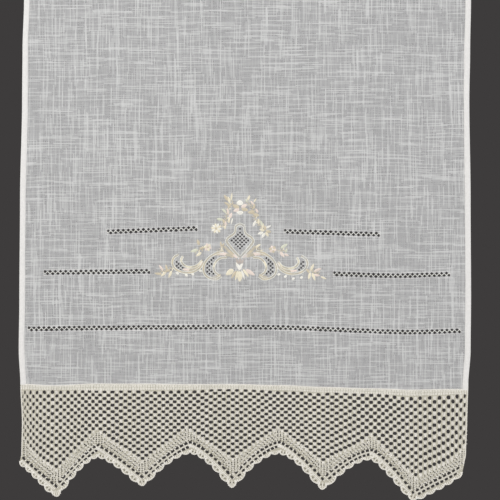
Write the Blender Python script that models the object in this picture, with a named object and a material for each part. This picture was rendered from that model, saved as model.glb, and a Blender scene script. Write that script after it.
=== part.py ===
"""Flat curtain with an empty rod pocket, side hems and a crocheted edging with five points.

The cloth hangs in the XZ plane and its face looks along -Y.
The origin is the middle of the top edge, and +Z is up.
"""

import math
from collections import namedtuple

import bmesh
import bpy
from mathutils.geometry import delaunay_2d_cdt

# All sizes below are in millimetres, and MM turns them to metres.
MM = 0.001

# Cloth
CLOTH_THICKNESS = 1.0
HEM_THICKNESS = 2.0
HEM_WIDTH = 7.5
HEM_EDGE = 0.8
SEAM_GAP = 0.3

# Rod pocket
POCKET_DEPTH = 42.0
POCKET_RADIUS = 8.5
POCKET_SEAM_STRIP = 4.0
POCKET_WALL_STEPS = 5
POCKET_ARC_STEPS = 8

# Crocheted edging
LACE_THICKNESS = 2.0
# The net's columns are counted in half repeats from the left side edge.
HALF_POINT = 11
FIRST_TIP_COLUMN = 11
LAST_TIP_COLUMN = 99
COLUMNS_RIGHT_OF_LAST_TIP = 12
TIP_ROWS = 22
LEFT_CROWDING = 1.35
RIGHT_CROWDING = 1.1
# The net's gaps are cut at twice the pitch of the crocheted mesh.
PITCH_TIMES = 2
FIRST_GAP_COLUMN = 3
LAST_GAP_COLUMN = 107
NET_GAP_SHARE = 0.43
BORDER_GAP_PITCH = 13.0
BORDER_GAP_WIDTH = 7.4
BORDER_GAP_HEIGHT = 4.6
BORDER_RISE_AT_TIP = 14.0
BORDER_RISE_AT_VALLEY = 12.3
SCALLOPS_PER_FLANK = 5
SCALLOP_DEPTH = 3.8
SCALLOP_FULLNESS = 0.7
SCALLOP_STEPS = 4
TIP_SCALLOP_HALF_WIDTH = 6.0
TIP_SCALLOP_STEPS = 6
GAP_CORNERS = 6

# Hang: soft folds that grow towards the lower edge
FOLD_START = -60.0
FOLD_FULL = -620.0
CURL_DEPTH = 4.5
CURL_WIDTH = 26.0
CURL_START = -745.0
CURL_FULL = -800.0
EDGE_POINT_SPACING = 20.0
PANEL_ROWS = 22
PANEL_COLUMNS = 34

Fold = namedtuple("Fold", "depth width start")
FOLDS = (
    Fold(depth=2.1, width=236.0, start=0.15),
    Fold(depth=0.9, width=97.0, start=0.60),
    Fold(depth=0.4, width=41.0, start=0.35),
)

# The two side edges of the hanging cloth: height below the top edge, left x and right x.
Side = namedtuple("Side", "height left right")
SIDES = (
    Side(0.0, -300.5, 301.0),
    Side(-225.0, -300.9, 301.3),
    Side(-293.0, -302.9, 300.1),
    Side(-360.0, -303.4, 299.0),
    Side(-495.0, -306.1, 300.7),
    Side(-630.0, -307.0, 301.3),
    Side(-697.0, -307.8, 300.7),
    Side(-744.0, -305.6, 297.6),
    Side(-792.0, -304.3, 297.0),
    Side(-840.0, -305.2, 295.4),
    Side(-848.2, -307.2, 293.6),
    Side(-863.0, -307.2, 290.6),
)

# The turns of the pointed lower edge from left to right, which are valleys and tips by turns:
# x and height of the edge, how far the scallops' nicks and the line of gaps bow in on the flank to
# its right, x of the net's column there, height of the seam to the cloth, height of the net's
# first row, and height of one row.
Turn = namedtuple("Turn", "x edge nick_bow gap_bow column seam first row")
TURNS = (
    Turn(-307.2, -848.2, 1.18, 1.05, -303.4, -743.0, -753.1, 5.26),
    Turn(-258.0, -895.3, 1.53, 1.35, -258.1, -745.4, -753.7, 4.79),
    Turn(-201.9, -838.7, 1.42, 1.35, -202.9, -743.0, -754.6, 4.53),
    Turn(-142.1, -880.5, 1.60, 1.35, -141.5, -743.0, -753.7, 4.26),
    Turn(-76.8, -832.5, 1.57, 1.35, -82.1, -743.3, -752.9, 4.34),
    Turn(-20.8, -883.2, 1.85, 1.35, -19.7, -743.6, -752.2, 4.23),
    Turn(43.1, -834.0, 1.57, 1.35, 41.0, -745.1, -754.1, 4.29),
    Turn(101.2, -885.1, 1.78, 1.40, 102.3, -747.1, -756.4, 4.19),
    Turn(167.7, -841.1, 1.18, 1.05, 165.9, -749.1, -758.8, 4.80),
    Turn(223.2, -900.0, 0.85, 1.00, 227.5, -751.1, -761.9, 4.92),
    Turn(290.6, -863.0, 1.00, 1.00, 296.7, -750.4, -760.3, 6.20),
)


def clear_scene():
    for existing in list(bpy.data.objects):
        bpy.data.objects.remove(existing, do_unlink=True)


def make_material(name, colour, roughness):
    material = bpy.data.materials.new(name)
    material.use_nodes = True
    shader = material.node_tree.nodes["Principled BSDF"]
    shader.inputs["Base Color"].default_value = (*colour, 1.0)
    shader.inputs["Roughness"].default_value = roughness
    shader.inputs["Metallic"].default_value = 0.0
    return material


def make_object(name, mesh, material):
    mesh.materials.append(material)
    made = bpy.data.objects.new(name, mesh)
    bpy.context.scene.collection.objects.link(made)
    return made


def mix(a, b, share):
    return a + (b - a) * share


def eased(value, start, end):
    """0 before start, 1 after end, and a soft rise between them."""
    share = min(1.0, max(0.0, (value - start) / (end - start)))
    return share * share * (3.0 - 2.0 * share)


def between_rows(rows, key, at, column):
    """A column of a table at a place between two of its rows, on a soft curve."""
    ordered = sorted(rows, key=lambda row: getattr(row, key))
    at = min(getattr(ordered[-1], key), max(getattr(ordered[0], key), at))
    for low, high in zip(ordered, ordered[1:]):
        start, end = getattr(low, key), getattr(high, key)
        if at <= end:
            return mix(getattr(low, column), getattr(high, column), eased(at, start, end))
    return getattr(ordered[-1], column)


def side_x(height, side):
    return between_rows(SIDES, "height", height, side)


def seam_height(x):
    return between_rows(TURNS, "x", x, "seam")


def drape(x, height):
    """How far the cloth stands from the XZ plane, from its folds and the turned ends of the lace."""
    fold = sum(f.depth * math.sin(2.0 * math.pi * (x / f.width + f.start)) for f in FOLDS)
    fold *= eased(-height, -FOLD_START, -FOLD_FULL)
    from_side = min(x - side_x(height, "left"), side_x(height, "right") - x)
    inward = min(1.0, max(0.0, from_side / CURL_WIDTH))
    curl = CURL_DEPTH * (1.0 - inward) ** 2 * eased(-height, -CURL_START, -CURL_FULL)
    return fold + curl


def hung(x, height):
    """A point of the cloth's middle, in metres."""
    return (x * MM, drape(x, height) * MM, height * MM)


def panel_columns():
    """Places across the cloth as pairs: share of the width, and millimetres to add."""
    inner = HEM_WIDTH + HEM_EDGE
    columns = [(0.0, 0.0), (0.0, HEM_WIDTH), (0.0, inner)]
    columns += [(i / PANEL_COLUMNS, 0.0) for i in range(1, PANEL_COLUMNS)]
    return columns + [(1.0, -inner), (1.0, -HEM_WIDTH), (1.0, 0.0)]


def across(place, height):
    """x of a place across the cloth at a height."""
    share, extra = place
    return mix(side_x(height, "left"), side_x(height, "right"), share) + extra


def seam_line():
    """The points where the cloth meets the edging, one for each column of the cloth."""
    points = []
    for place in panel_columns():
        height = seam_height(across(place, TURNS[0].seam))
        points.append((across(place, height), height))
    return points


def build_panel(material):
    """The sheer cloth from the pocket seam to the edging, thicker along its two side hems."""
    columns = panel_columns()
    top = -POCKET_DEPTH - POCKET_SEAM_STRIP - SEAM_GAP
    feet = [height + SEAM_GAP for _, height in seam_line()]
    work = bmesh.new()
    grid = []
    for row in range(PANEL_ROWS + 1):
        line = []
        for place, foot in zip(columns, feet):
            height = mix(top, foot, row / PANEL_ROWS)
            line.append(work.verts.new(hung(across(place, height), height)))
        grid.append(line)
    for upper, lower in zip(grid, grid[1:]):
        for i in range(len(columns) - 1):
            work.faces.new((upper[i], lower[i], lower[i + 1], upper[i + 1]))
    mesh = bpy.data.meshes.new("panel")
    work.to_mesh(mesh)
    work.free()
    panel = make_object("panel", mesh, material)
    hem = panel.vertex_groups.new(name="side_hem")
    hem_columns = (0, 1, len(columns) - 2, len(columns) - 1)
    for row in range(PANEL_ROWS + 1):
        hem.add([row * len(columns) + i for i in hem_columns], 1.0, "REPLACE")
    add_thickness(panel, HEM_THICKNESS)
    solidify = panel.modifiers["thickness"]
    solidify.vertex_group = hem.name
    solidify.thickness_vertex_group = CLOTH_THICKNESS / HEM_THICKNESS
    return panel


def add_thickness(piece, thickness):
    solidify = piece.modifiers.new("thickness", "SOLIDIFY")
    solidify.thickness = thickness * MM
    solidify.offset = 0.0


def pocket_half_width(height):
    """Half of the pocket's depth from front to back, at its walls' middle."""
    centre = -CLOTH_THICKNESS / 2.0 - POCKET_RADIUS
    share = (centre - height) / (centre + POCKET_DEPTH)
    closed = CLOTH_THICKNESS / 2.0
    return closed + (POCKET_RADIUS - closed) * (1.0 + math.cos(math.pi * share)) / 2.0


def pocket_profile():
    """The middle line of the pocket's wall from the front seam over the rod line to the back seam."""
    centre = -CLOTH_THICKNESS / 2.0 - POCKET_RADIUS
    front = []
    for i in range(POCKET_WALL_STEPS):
        height = mix(-POCKET_DEPTH, centre, i / POCKET_WALL_STEPS)
        front.append((-pocket_half_width(height), height))
    arc = []
    for i in range(POCKET_ARC_STEPS + 1):
        turn = math.pi * i / POCKET_ARC_STEPS
        height = centre + POCKET_RADIUS * math.sin(turn)
        arc.append((-POCKET_RADIUS * math.cos(turn), height))
    back = [(-y, z) for y, z in reversed(front)]
    return front + arc + back


def offset_line(line, distance):
    """The line moved sideways by a distance, to the outside of the pocket."""
    moved = []
    for i, (y, z) in enumerate(line):
        before, after = line[max(i - 1, 0)], line[min(i + 1, len(line) - 1)]
        dy, dz = after[0] - before[0], after[1] - before[1]
        length = math.hypot(dy, dz)
        moved.append((y - distance * dz / length, z + distance * dy / length))
    return moved


def build_pocket(material):
    """The turned-over top of the cloth: an open tunnel with its two layers sewn together below."""
    middle = pocket_profile()
    outer = offset_line(middle, CLOTH_THICKNESS / 2.0)
    inner = offset_line(middle, -CLOTH_THICKNESS / 2.0)
    foot = -POCKET_DEPTH - POCKET_SEAM_STRIP
    outer[0], outer[-1] = (-CLOTH_THICKNESS, -POCKET_DEPTH), (CLOTH_THICKNESS, -POCKET_DEPTH)
    outer = [(-CLOTH_THICKNESS, foot)] + outer + [(CLOTH_THICKNESS, foot)]
    meeting = (0.0, -POCKET_DEPTH)
    inner = [meeting] + inner[1:-1] + [meeting]
    work = bmesh.new()
    ends = []
    for side in ("left", "right"):
        out = [work.verts.new((side_x(z, side) * MM, y * MM, z * MM)) for y, z in outer]
        inside = [work.verts.new((side_x(z, side) * MM, y * MM, z * MM)) for y, z in inner[:-1]]
        inside.append(inside[0])
        ends.append((out, inside))
        for i in range(len(inside) - 1):
            work.faces.new((out[i + 1], out[i + 2], inside[i + 1], inside[i]))
        work.faces.new((out[0], out[1], inside[0], out[-2], out[-1]))
    (out_a, in_a), (out_b, in_b) = ends
    for i in range(len(out_a)):
        j = (i + 1) % len(out_a)
        work.faces.new((out_a[i], out_a[j], out_b[j], out_b[i]))
    for i in range(len(in_a) - 1):
        work.faces.new((in_a[i], in_a[i + 1], in_b[i + 1], in_b[i]))
    bmesh.ops.recalc_face_normals(work, faces=work.faces)
    mesh = bpy.data.meshes.new("rod_pocket")
    work.to_mesh(mesh)
    work.free()
    return make_object("rod_pocket", mesh, material)


def flank_point(flank, share, bow):
    """A point of a line along a flank, from its valley at 0 to its tip at 1."""
    valley, tip = TURNS[flank + flank % 2], TURNS[flank + 1 - flank % 2]
    return (mix(valley.x, tip.x, share), mix(valley.edge, tip.edge, share**bow))


def nick_point(flank, share):
    """A point of the scallops' base line."""
    return flank_point(flank, share, TURNS[flank].nick_bow)


def tip_scallop_share(flank):
    """Where on a flank the round scallop of its tip begins."""
    run = abs(TURNS[flank + 1].x - TURNS[flank].x)
    return 1.0 - TIP_SCALLOP_HALF_WIDTH / run


def bulge(start, end, depth, steps):
    """Points of a soft bow that hangs below the straight line from start to end, without its ends."""
    dx, dz = end[0] - start[0], end[1] - start[1]
    length = math.hypot(dx, dz)
    points = []
    for i in range(1, steps):
        share = i / steps
        out = depth * math.sin(math.pi * share) ** SCALLOP_FULLNESS
        x = start[0] + dx * share + out * dz / length
        points.append((x, start[1] + dz * share - out * dx / length))
    return points


def scalloped_edge():
    """The whole lower edge from the left corner to the right one."""
    edge = []
    for flank in range(len(TURNS) - 1):
        last = tip_scallop_share(flank)
        shares = [last * i / SCALLOPS_PER_FLANK for i in range(SCALLOPS_PER_FLANK + 1)]
        climbs = flank % 2 == 1
        nicks = [nick_point(flank, share) for share in (reversed(shares) if climbs else shares)]
        for start, end in zip(nicks, nicks[1:]):
            edge.append(start)
            edge += bulge(start, end, SCALLOP_DEPTH, SCALLOP_STEPS)
        edge.append(nicks[-1])
        if not climbs:
            other = nick_point(flank + 1, tip_scallop_share(flank + 1))
            drop = (nicks[-1][1] + other[1]) / 2.0 - TURNS[flank + 1].edge
            edge += bulge(nicks[-1], other, drop, TIP_SCALLOP_STEPS)
        elif flank < len(TURNS) - 2:
            edge.pop()
    return edge


def spaced(start, end):
    count = max(1, round(abs(end - start) / EDGE_POINT_SPACING))
    return [mix(start, end, i / count) for i in range(count)]


def lace_outline():
    """The edging's outline: down the left side, along the scallops, up the right side, and back."""
    seam = seam_line()
    edge = scalloped_edge()
    left = [(side_x(h, "left"), h) for h in spaced(seam[0][1], edge[0][1])[1:]]
    right = [(side_x(h, "right"), h) for h in spaced(seam[-1][1], edge[-1][1])[1:]]
    return left + edge + right[::-1] + seam[::-1]


def column_x(column):
    """x of a net column; the columns crowd together towards the two side edges."""
    if column < FIRST_TIP_COLUMN:
        share = (column / FIRST_TIP_COLUMN) ** LEFT_CROWDING
        return mix(TURNS[0].column, TURNS[1].column, share)
    if column > LAST_TIP_COLUMN:
        share = 1.0 - (column - LAST_TIP_COLUMN) / COLUMNS_RIGHT_OF_LAST_TIP
        return mix(TURNS[-1].column, TURNS[-2].column, share**RIGHT_CROWDING)
    turn = 1 + (column - FIRST_TIP_COLUMN) / HALF_POINT
    low = min(int(turn), len(TURNS) - 2)
    return mix(TURNS[low].column, TURNS[low + 1].column, turn - low)


def net_reach(column):
    """The last net row of a column, which falls away from the tip of its point."""
    from_tip = abs((column - FIRST_TIP_COLUMN + HALF_POINT) % (2 * HALF_POINT) - HALF_POINT)
    return TIP_ROWS - 1 - from_tip


def ring(x, height, half_width, half_height, turn):
    """A six-cornered gap with upright sides, turned by an angle."""
    points = []
    for i in range(GAP_CORNERS):
        angle = 2.0 * math.pi * (i + 0.5) / GAP_CORNERS
        across = half_width * math.cos(angle) / math.cos(math.pi / GAP_CORNERS)
        up = half_height * math.sin(angle)
        points.append(
            (
                x + across * math.cos(turn) - up * math.sin(turn),
                height + across * math.sin(turn) + up * math.cos(turn),
            )
        )
    return points


def net_gaps():
    """The net's gaps in staggered rows, each over two crocheted rows and columns."""
    gaps = []
    for column in range(FIRST_GAP_COLUMN, LAST_GAP_COLUMN + 1, PITCH_TIMES):
        x = column_x(column)
        wide = (column_x(column + PITCH_TIMES) - column_x(column - PITCH_TIMES)) / 2.0
        tall = PITCH_TIMES * between_rows(TURNS, "column", x, "row")
        first = between_rows(TURNS, "column", x, "first")
        for row in range(TIP_ROWS // PITCH_TIMES):
            last_covered = PITCH_TIMES * (row + 1) - 1
            staggered = (column // PITCH_TIMES + row) % 2 == 1
            if staggered and last_covered <= net_reach(column):
                height = first - tall * (row + 0.5 * (PITCH_TIMES - 1) / PITCH_TIMES)
                gaps.append(ring(x, height, wide * NET_GAP_SHARE, tall * NET_GAP_SHARE, 0.0))
    return gaps


def border_gaps():
    """The line of gaps that follows the pointed edge, cut at twice the pitch of the crocheted one."""
    gaps = []
    for flank in range(len(TURNS) - 1):
        start, end = TURNS[flank], TURNS[flank + 1]
        count = round(math.hypot(end.x - start.x, end.edge - start.edge) / BORDER_GAP_PITCH)
        for i in range(count):
            share = (i + 0.5) / count
            x, z = flank_point(flank, share, start.gap_bow)
            x_before, z_before = flank_point(flank, i / count, start.gap_bow)
            rise = mix(BORDER_RISE_AT_VALLEY, BORDER_RISE_AT_TIP, share)
            turn = math.atan((z - z_before) / (x - x_before))
            half_width, half_height = BORDER_GAP_WIDTH / 2.0, BORDER_GAP_HEIGHT / 2.0
            gaps.append(ring(x, z + rise, half_width, half_height, turn))
    return gaps


def build_lace(material):
    """The crocheted edging: one sheet with its gaps cut through."""
    loops = [lace_outline()] + net_gaps() + border_gaps()
    points, faces = [], []
    for loop in loops:
        faces.append(list(range(len(points), len(points) + len(loop))))
        points += loop
    flat, _, triangles, _, _, origins = delaunay_2d_cdt(points, [], faces, 0, 1e-4)
    kept = [t for t, origin in zip(triangles, origins) if origin == [0]]
    mesh = bpy.data.meshes.new("crochet_lace")
    mesh.from_pydata([hung(x, z) for x, z in flat], [], kept)
    work = bmesh.new()
    work.from_mesh(mesh)
    loose = [v for v in work.verts if not v.link_faces]
    bmesh.ops.delete(work, geom=loose, context="VERTS")
    bmesh.ops.recalc_face_normals(work, faces=work.faces)
    work.to_mesh(mesh)
    work.free()
    lace = make_object("crochet_lace", mesh, material)
    add_thickness(lace, LACE_THICKNESS)
    return lace


def main():
    clear_scene()
    build_panel(make_material("sheer_cotton", (0.49, 0.49, 0.49), 0.9))
    build_pocket(make_material("pocket_cotton", (0.55, 0.55, 0.54), 0.9))
    build_lace(make_material("crochet_cotton", (0.72, 0.68, 0.60), 0.85))


main()
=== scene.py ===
"""Sheer rod pocket curtain: slubbed cloth, drawn-thread ladders, a stitched motif and a crocheted edging.

Places are in millimetres until a mesh is made, with +Z up and the curtain's face towards -Y.
The origin is the middle of the top edge.
"""

import math
from collections import namedtuple
from functools import partial

import bmesh
import bpy
import numpy as np
from bpy.props import FloatProperty, FloatVectorProperty, PointerProperty
from bpy.types import Operator, Panel, PropertyGroup
from mathutils.geometry import delaunay_2d_cdt
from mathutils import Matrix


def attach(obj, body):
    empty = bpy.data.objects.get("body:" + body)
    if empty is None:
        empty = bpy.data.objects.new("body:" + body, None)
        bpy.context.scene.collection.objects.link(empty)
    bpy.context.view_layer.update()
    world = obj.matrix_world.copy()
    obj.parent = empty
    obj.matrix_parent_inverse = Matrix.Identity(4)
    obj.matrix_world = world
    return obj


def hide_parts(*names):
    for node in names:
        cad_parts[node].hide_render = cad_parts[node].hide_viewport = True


bl_info = {
    "name": "Sheer Rod Pocket Curtain",
    "version": (1, 0, 0),
    "blender": (4, 5, 0),
    "location": "View3D > Sidebar > Curtain",
    "description": "Builds a sheer curtain with drawn-thread ladders, a motif and a crocheted edging",
    "category": "Object",
}

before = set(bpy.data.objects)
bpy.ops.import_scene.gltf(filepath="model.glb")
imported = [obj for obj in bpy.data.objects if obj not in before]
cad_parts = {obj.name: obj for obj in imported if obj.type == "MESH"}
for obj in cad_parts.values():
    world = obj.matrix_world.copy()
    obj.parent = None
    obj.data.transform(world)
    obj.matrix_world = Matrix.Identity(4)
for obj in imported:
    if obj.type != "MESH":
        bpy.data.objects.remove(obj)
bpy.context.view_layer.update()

MM = 0.001


def table(names, *rows):
    """Rows of numbers as one array for each named column."""
    return {name: np.array(column) for name, column in zip(names.split(), zip(*rows))}


# The hanging cloth's two side edges, by the depth below the top edge.
SIDES = table(
    "depth left right",
    (0.0, -300.5, 301.0),
    (225.0, -300.9, 301.3),
    (293.0, -302.9, 300.1),
    (360.0, -303.4, 299.0),
    (495.0, -306.1, 300.7),
    (630.0, -307.0, 301.3),
    (697.0, -307.8, 300.7),
    (744.0, -305.6, 297.6),
    (792.0, -304.3, 297.0),
    (840.0, -305.2, 295.4),
    (848.2, -307.2, 293.6),
    (863.0, -307.2, 290.6),
)

# The pointed edge's valleys and tips by turns: place and height of the edge, how far the line of
# nicks and the line of eyelets bow in on the flank at its right, height of the eyelets above the
# edge, place of the net's column, and heights of the seam, the first row and one row.
TURNS = table(
    "x edge nick_bow eyelet_bow rise column seam first row",
    (-307.2, -848.2, 1.18, 1.00, 9.0, -303.4, -743.0, -753.1, 5.26),
    (-258.0, -895.3, 1.53, 1.26, 14.5, -258.1, -745.4, -753.7, 4.79),
    (-201.9, -838.7, 1.42, 1.13, 12.9, -202.9, -743.0, -754.6, 4.53),
    (-142.1, -880.5, 1.60, 1.35, 12.4, -141.5, -743.0, -753.7, 4.26),
    (-76.8, -832.5, 1.57, 1.40, 11.2, -82.1, -743.3, -752.9, 4.34),
    (-20.8, -883.2, 1.85, 1.57, 14.3, -19.7, -743.6, -752.2, 4.23),
    (43.1, -834.0, 1.57, 1.33, 12.0, 41.0, -745.1, -754.1, 4.29),
    (101.2, -885.1, 1.78, 1.62, 14.6, 102.3, -747.1, -756.4, 4.19),
    (167.7, -841.1, 1.18, 1.33, 9.1, 165.9, -749.1, -758.8, 4.80),
    (223.2, -900.0, 0.85, 1.00, 10.7, 227.5, -751.1, -761.9, 4.92),
    (290.6, -863.0, 1.00, 1.00, 8.8, 296.7, -750.4, -760.3, 6.20),
)
FLANKS = len(TURNS["x"]) - 1
# Height at which the side edges are taken for the seam
SEAM_LEVEL = -743.0
INWARD = {"left": 1.0, "right": -1.0}

# Soft folds that grow towards the lower edge, and the turned-back sides of the edging.
FOLDS = table("depth width start", (2.1, 236.0, 0.15), (0.9, 97.0, 0.60), (0.4, 41.0, 0.35))
FOLD_START, FOLD_FULL = 60.0, 620.0
CURL_DEPTH, CURL_WIDTH = 4.5, 26.0
CURL_START, CURL_FULL = 745.0, 800.0

# Rod pocket
POCKET_DEPTH = 42.0
POCKET_SEAM = 4.0
POCKET_RADIUS = 8.5
# Thickness of its hemmed ends, and how far the two faces of its seam stand from the middle
POCKET_END, SEAM_FACE = 1.0, 0.75

# The net's columns are counted in half repeats from the left side edge.
HALF_POINT = 11
FIRST_TIP, LAST_TIP, LAST_COLUMN = 11, 99, 111
TIP_ROWS = 22
LEFT_CROWDING, RIGHT_CROWDING = 1.35, 1.1
# Its gaps by distance from the side edge: share of their column's width, and bow of the chains
SIDE_PULL = (4.0, 10.0, 25.0, 65.0, 110.0)
GAP_WIDTHS = (0.32, 0.40, 0.45, 0.46, 0.53)
CHAIN_BOWS = (0.8, 0.8, 0.8, 0.75, 0.45)
GAP_HEIGHT = 0.58
# Posts of its clusters: column width for the full spread, spread, lean, overlap of the rows and depth
CLUSTER_WIDTH, CLUSTER_SPREAD, CLUSTER_LEAN = 5.5, 1.3, 0.14
POST_OVERLAP, NET_POST_DEPTH, CHAIN_RADIUS = 1.1, 1.8, 0.45
# Posts of the two rows above it: height at which their ends are taken, pitch, and width and depth
HEADING_LEVEL, HEADING_PITCH, HEADING_POST = -745.0, 2.15, (2.0, 1.7)

# The dense border, its eyelets and its scallops. Its close rows start a little above the eyelets.
BORDER_COLUMN, BORDER_ROW, BORDER_RISE = 3.9, 2.7, 3.0
EYELET_PITCH = 7.1
# The least distance of an eyelet, and of a post, from the side edges
EYELET_MARGIN, POST_MARGIN = 4.2, 1.2
EYELET_HALF = (2.9, 1.95)
OUTER_EYELETS = 5.5
# The scallops' pin-sized openings: place on each side of the middle, distance out and radius
DOT_SHARE, DOT_LINE, DOT_RADIUS = 0.17, 0.22, 0.9
# A scallop that rises more than this to the right has a second line of eyelets above it.
CLIMB = 2.0
SCALLOPS_PER_FLANK, SCALLOP_STEPS = 5, 8
SCALLOP_DEPTH, SCALLOP_FULLNESS = 3.8, 0.7
TIP_SCALLOP_HALF_WIDTH = 6.0
# Posts of the border: spread, lean and width in pairs, widths of bars and rows, and their depth
PAIR_SPREAD, PAIR_LEAN, PAIR_WIDTH = 0.62, 0.3, 1.15
BAR_WIDTH, ROW_WIDTH, POST_DEPTH = 1.6, 1.8, 1.6
# A scallop's fan: posts on each side of its middle one, angle between them in radians, and depth
FAN_HALF, FAN_STEP, FAN_DEPTH = 3, 0.4, 1.7
# The corded edges: radius of a ply, its distance from the cord's middle, and the length of a turn
PLY_RADIUS, PLY_REACH, PLY_PITCH = 0.62, 0.45, 4.6

# Drawn-thread ladders: the points of their middle lines.
LADDERS = (
    ((-189.4, -538.1), (-67.1, -533.4)),
    ((49.1, -537.2), (178.7, -541.4)),
    ((-274.3, -592.9), (-130.8, -591.1)),
    ((115.4, -594.3), (195.0, -597.0), (273.8, -595.0)),
    ((-295.9, -668.7), (3.5, -666.3), (205.7, -672.9), (288.0, -671.3)),
)
LADDER_PITCH = 6.7
LADDER_ROW = 1.5
# Half the width and height of a drawn gap, half the height of a ladder, and radius of its threads
LADDER_GAP = (2.42, 2.18)
LADDER_EDGE = 3.9
BUNDLE_RADIUS, BINDING_RADIUS = 0.42, 0.28

# Sewn stitches: width, length and depth, distance from one to the next, and from a hem's edge
SEWN_STITCH = (0.45, 2.5, 0.35)
SEWN_PITCH, SEWN_INSET = 3.2, 1.3
# How far the cloth reaches into its hems, as a share of their width, and the hems' top and steps
HEM_LAP = 0.6
HEM_TOP, HEM_STEP = -45.0, 9.0
# The grid that lets the cloth follow its folds: top, foot, and distances from the two side edges
GRID_TOP, GRID_FOOT, GRID_MARGINS = -56.0, -736.0, (16.0, 12.0)
GRID_STEP, EDGE_STEP = 14.0, 12.0
# How far the cloth laps over the edging
SEAM_OVERLAP = 1.5

# Points of a curve between two given ones, and points of a ply in each turn
CURVE_STEPS, PLY_STEPS = 24, 6


def mix(a, b, share):
    return a + (b - a) * share


def eased(value, start, end):
    """0 before start, 1 after end, and a soft rise between them."""
    share = np.clip((value - start) / (end - start), 0.0, 1.0)
    return share * share * (3.0 - 2.0 * share)


def between(keys, values, at):
    """Values of a table at places between its rising keys, on a soft curve."""
    low = np.clip(np.searchsorted(keys, at) - 1, 0, len(keys) - 2)
    return mix(values[low], values[low + 1], eased(at, keys[low], keys[low + 1]))


def side_x(z, side):
    return between(SIDES["depth"], SIDES[side], -np.asarray(z, float))


def seam_height(x):
    """Height of the seam between the cloth and the edging."""
    return between(TURNS["x"], TURNS["seam"], x)


def seam_sides(inset=0.0):
    """Places of the two side edges at the seam, drawn in."""
    return side_x(SEAM_LEVEL, "left") + inset, side_x(SEAM_LEVEL, "right") - inset


def from_side(x, z):
    """Distance to the nearer side edge."""
    return np.minimum(x - side_x(z, "left"), side_x(z, "right") - x)


def across_cloth(z, left, right, pitch):
    """Places at a pitch from one side edge to the other, with a margin at each."""
    return np.arange(side_x(z, "left") + left, side_x(z, "right") - right, pitch)


def drape(x, z):
    """How far the cloth stands from the XZ plane."""
    fold = sum(
        depth * np.sin(2.0 * math.pi * (x / width + start))
        for depth, width, start in zip(*FOLDS.values())
    )
    inward = np.clip(from_side(x, z) / CURL_WIDTH, 0.0, 1.0)
    curl = CURL_DEPTH * (1.0 - inward) ** 2 * eased(-z, CURL_START, CURL_FULL)
    return fold * eased(-z, FOLD_START, FOLD_FULL) + curl


def hung(points):
    """Flat points moved onto the hanging cloth, in metres."""
    points = np.array(points, float)
    points[:, 1] += drape(points[:, 0], points[:, 2])
    return points * MM


def flat(pairs):
    """Pairs of x and z as points on the XZ plane."""
    pairs = np.asarray(pairs, float)
    return np.column_stack([pairs[:, 0], np.zeros(len(pairs)), pairs[:, 1]])


def lengths_along(path):
    """How far each point of a path lies from its start."""
    return np.concatenate([[0.0], np.cumsum(np.linalg.norm(np.diff(path, axis=0), axis=1))])


def evenly(path, run, count):
    """Evenly spaced points of a path, how far along they are, and its left-hand normals."""
    at = np.linspace(0.0, run[-1], count)
    points = np.column_stack([np.interp(at, run, column) for column in path.T])
    along = np.gradient(points, axis=0)
    along /= np.linalg.norm(along, axis=1)[:, None]
    return points, at, np.column_stack([-along[:, 1], along[:, 0]])


def smooth_path(points, spacing):
    """Evenly spaced points of a soft curve through the given ones, and its left-hand normals."""
    points = np.asarray(points, float)
    ends = np.vstack([2 * points[0] - points[1], points, 2 * points[-1] - points[-2]])
    fine = []
    for a, b, c, d in zip(ends, ends[1:], ends[2:], ends[3:]):
        for t in np.linspace(0.0, 1.0, CURVE_STEPS, endpoint=False):
            near = (2 * a - 5 * b + 4 * c - d) * t**2 + (3 * b - a - 3 * c + d) * t**3
            fine.append(b + 0.5 * ((c - a) * t + near))
    fine = np.array([*fine, points[-1]])
    run = lengths_along(fine)
    even, _, normals = evenly(fine, run, max(2, round(run[-1] / spacing)) + 1)
    return even, normals


def turned(x, z, across, up, turn):
    """A place moved across and up from another one, along axes turned to the left."""
    return x + across * np.cos(turn) - up * np.sin(turn), z + across * np.sin(turn) + up * np.cos(turn)


def ring(x, z, half_width, half_height, turn=0.0, corners=8, waist=1.0, rough=None):
    """A gap's outline. A waist under 1 draws the corners between the four main ones in."""
    points = []
    for i in range(corners):
        angle = 2.0 * math.pi * i / corners
        reach = waist if i % 2 else 1.0
        if rough is not None:
            reach *= rough.uniform(0.86, 1.12)
        across, up = half_width * reach * math.cos(angle), half_height * reach * math.sin(angle)
        points.append(turned(x, z, across, up, turn))
    return points


# Objects and meshes


def deselect():
    bpy.ops.object.select_all(action="DESELECT")


def activate(piece):
    deselect()
    piece.select_set(True)
    bpy.context.view_layer.objects.active = piece


def add_object(name, data, material):
    piece = bpy.data.objects.new(name, data)
    bpy.context.scene.collection.objects.link(piece)
    piece.data.materials.append(material)
    return piece


def mesh_piece(name, points, faces, material, smooth_angle):
    """A piece from points in metres and faces, with its faces pointing out."""
    mesh = bpy.data.meshes.new(name)
    mesh.from_pydata(np.asarray(points).tolist(), [], faces)
    piece = add_object(name, mesh, material)
    smooth(piece, smooth_angle)
    return piece


def smooth(piece, angle):
    activate(piece)
    bpy.ops.object.shade_smooth_by_angle(angle=math.radians(angle))


def thicken(piece, thickness):
    """Gives a surface its thickness, half to each side."""
    solidify = piece.modifiers.new("thickness", "SOLIDIFY")
    solidify.thickness = thickness * MM
    solidify.offset = 0.0
    activate(piece)
    bpy.ops.object.modifier_apply(modifier=solidify.name)


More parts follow.
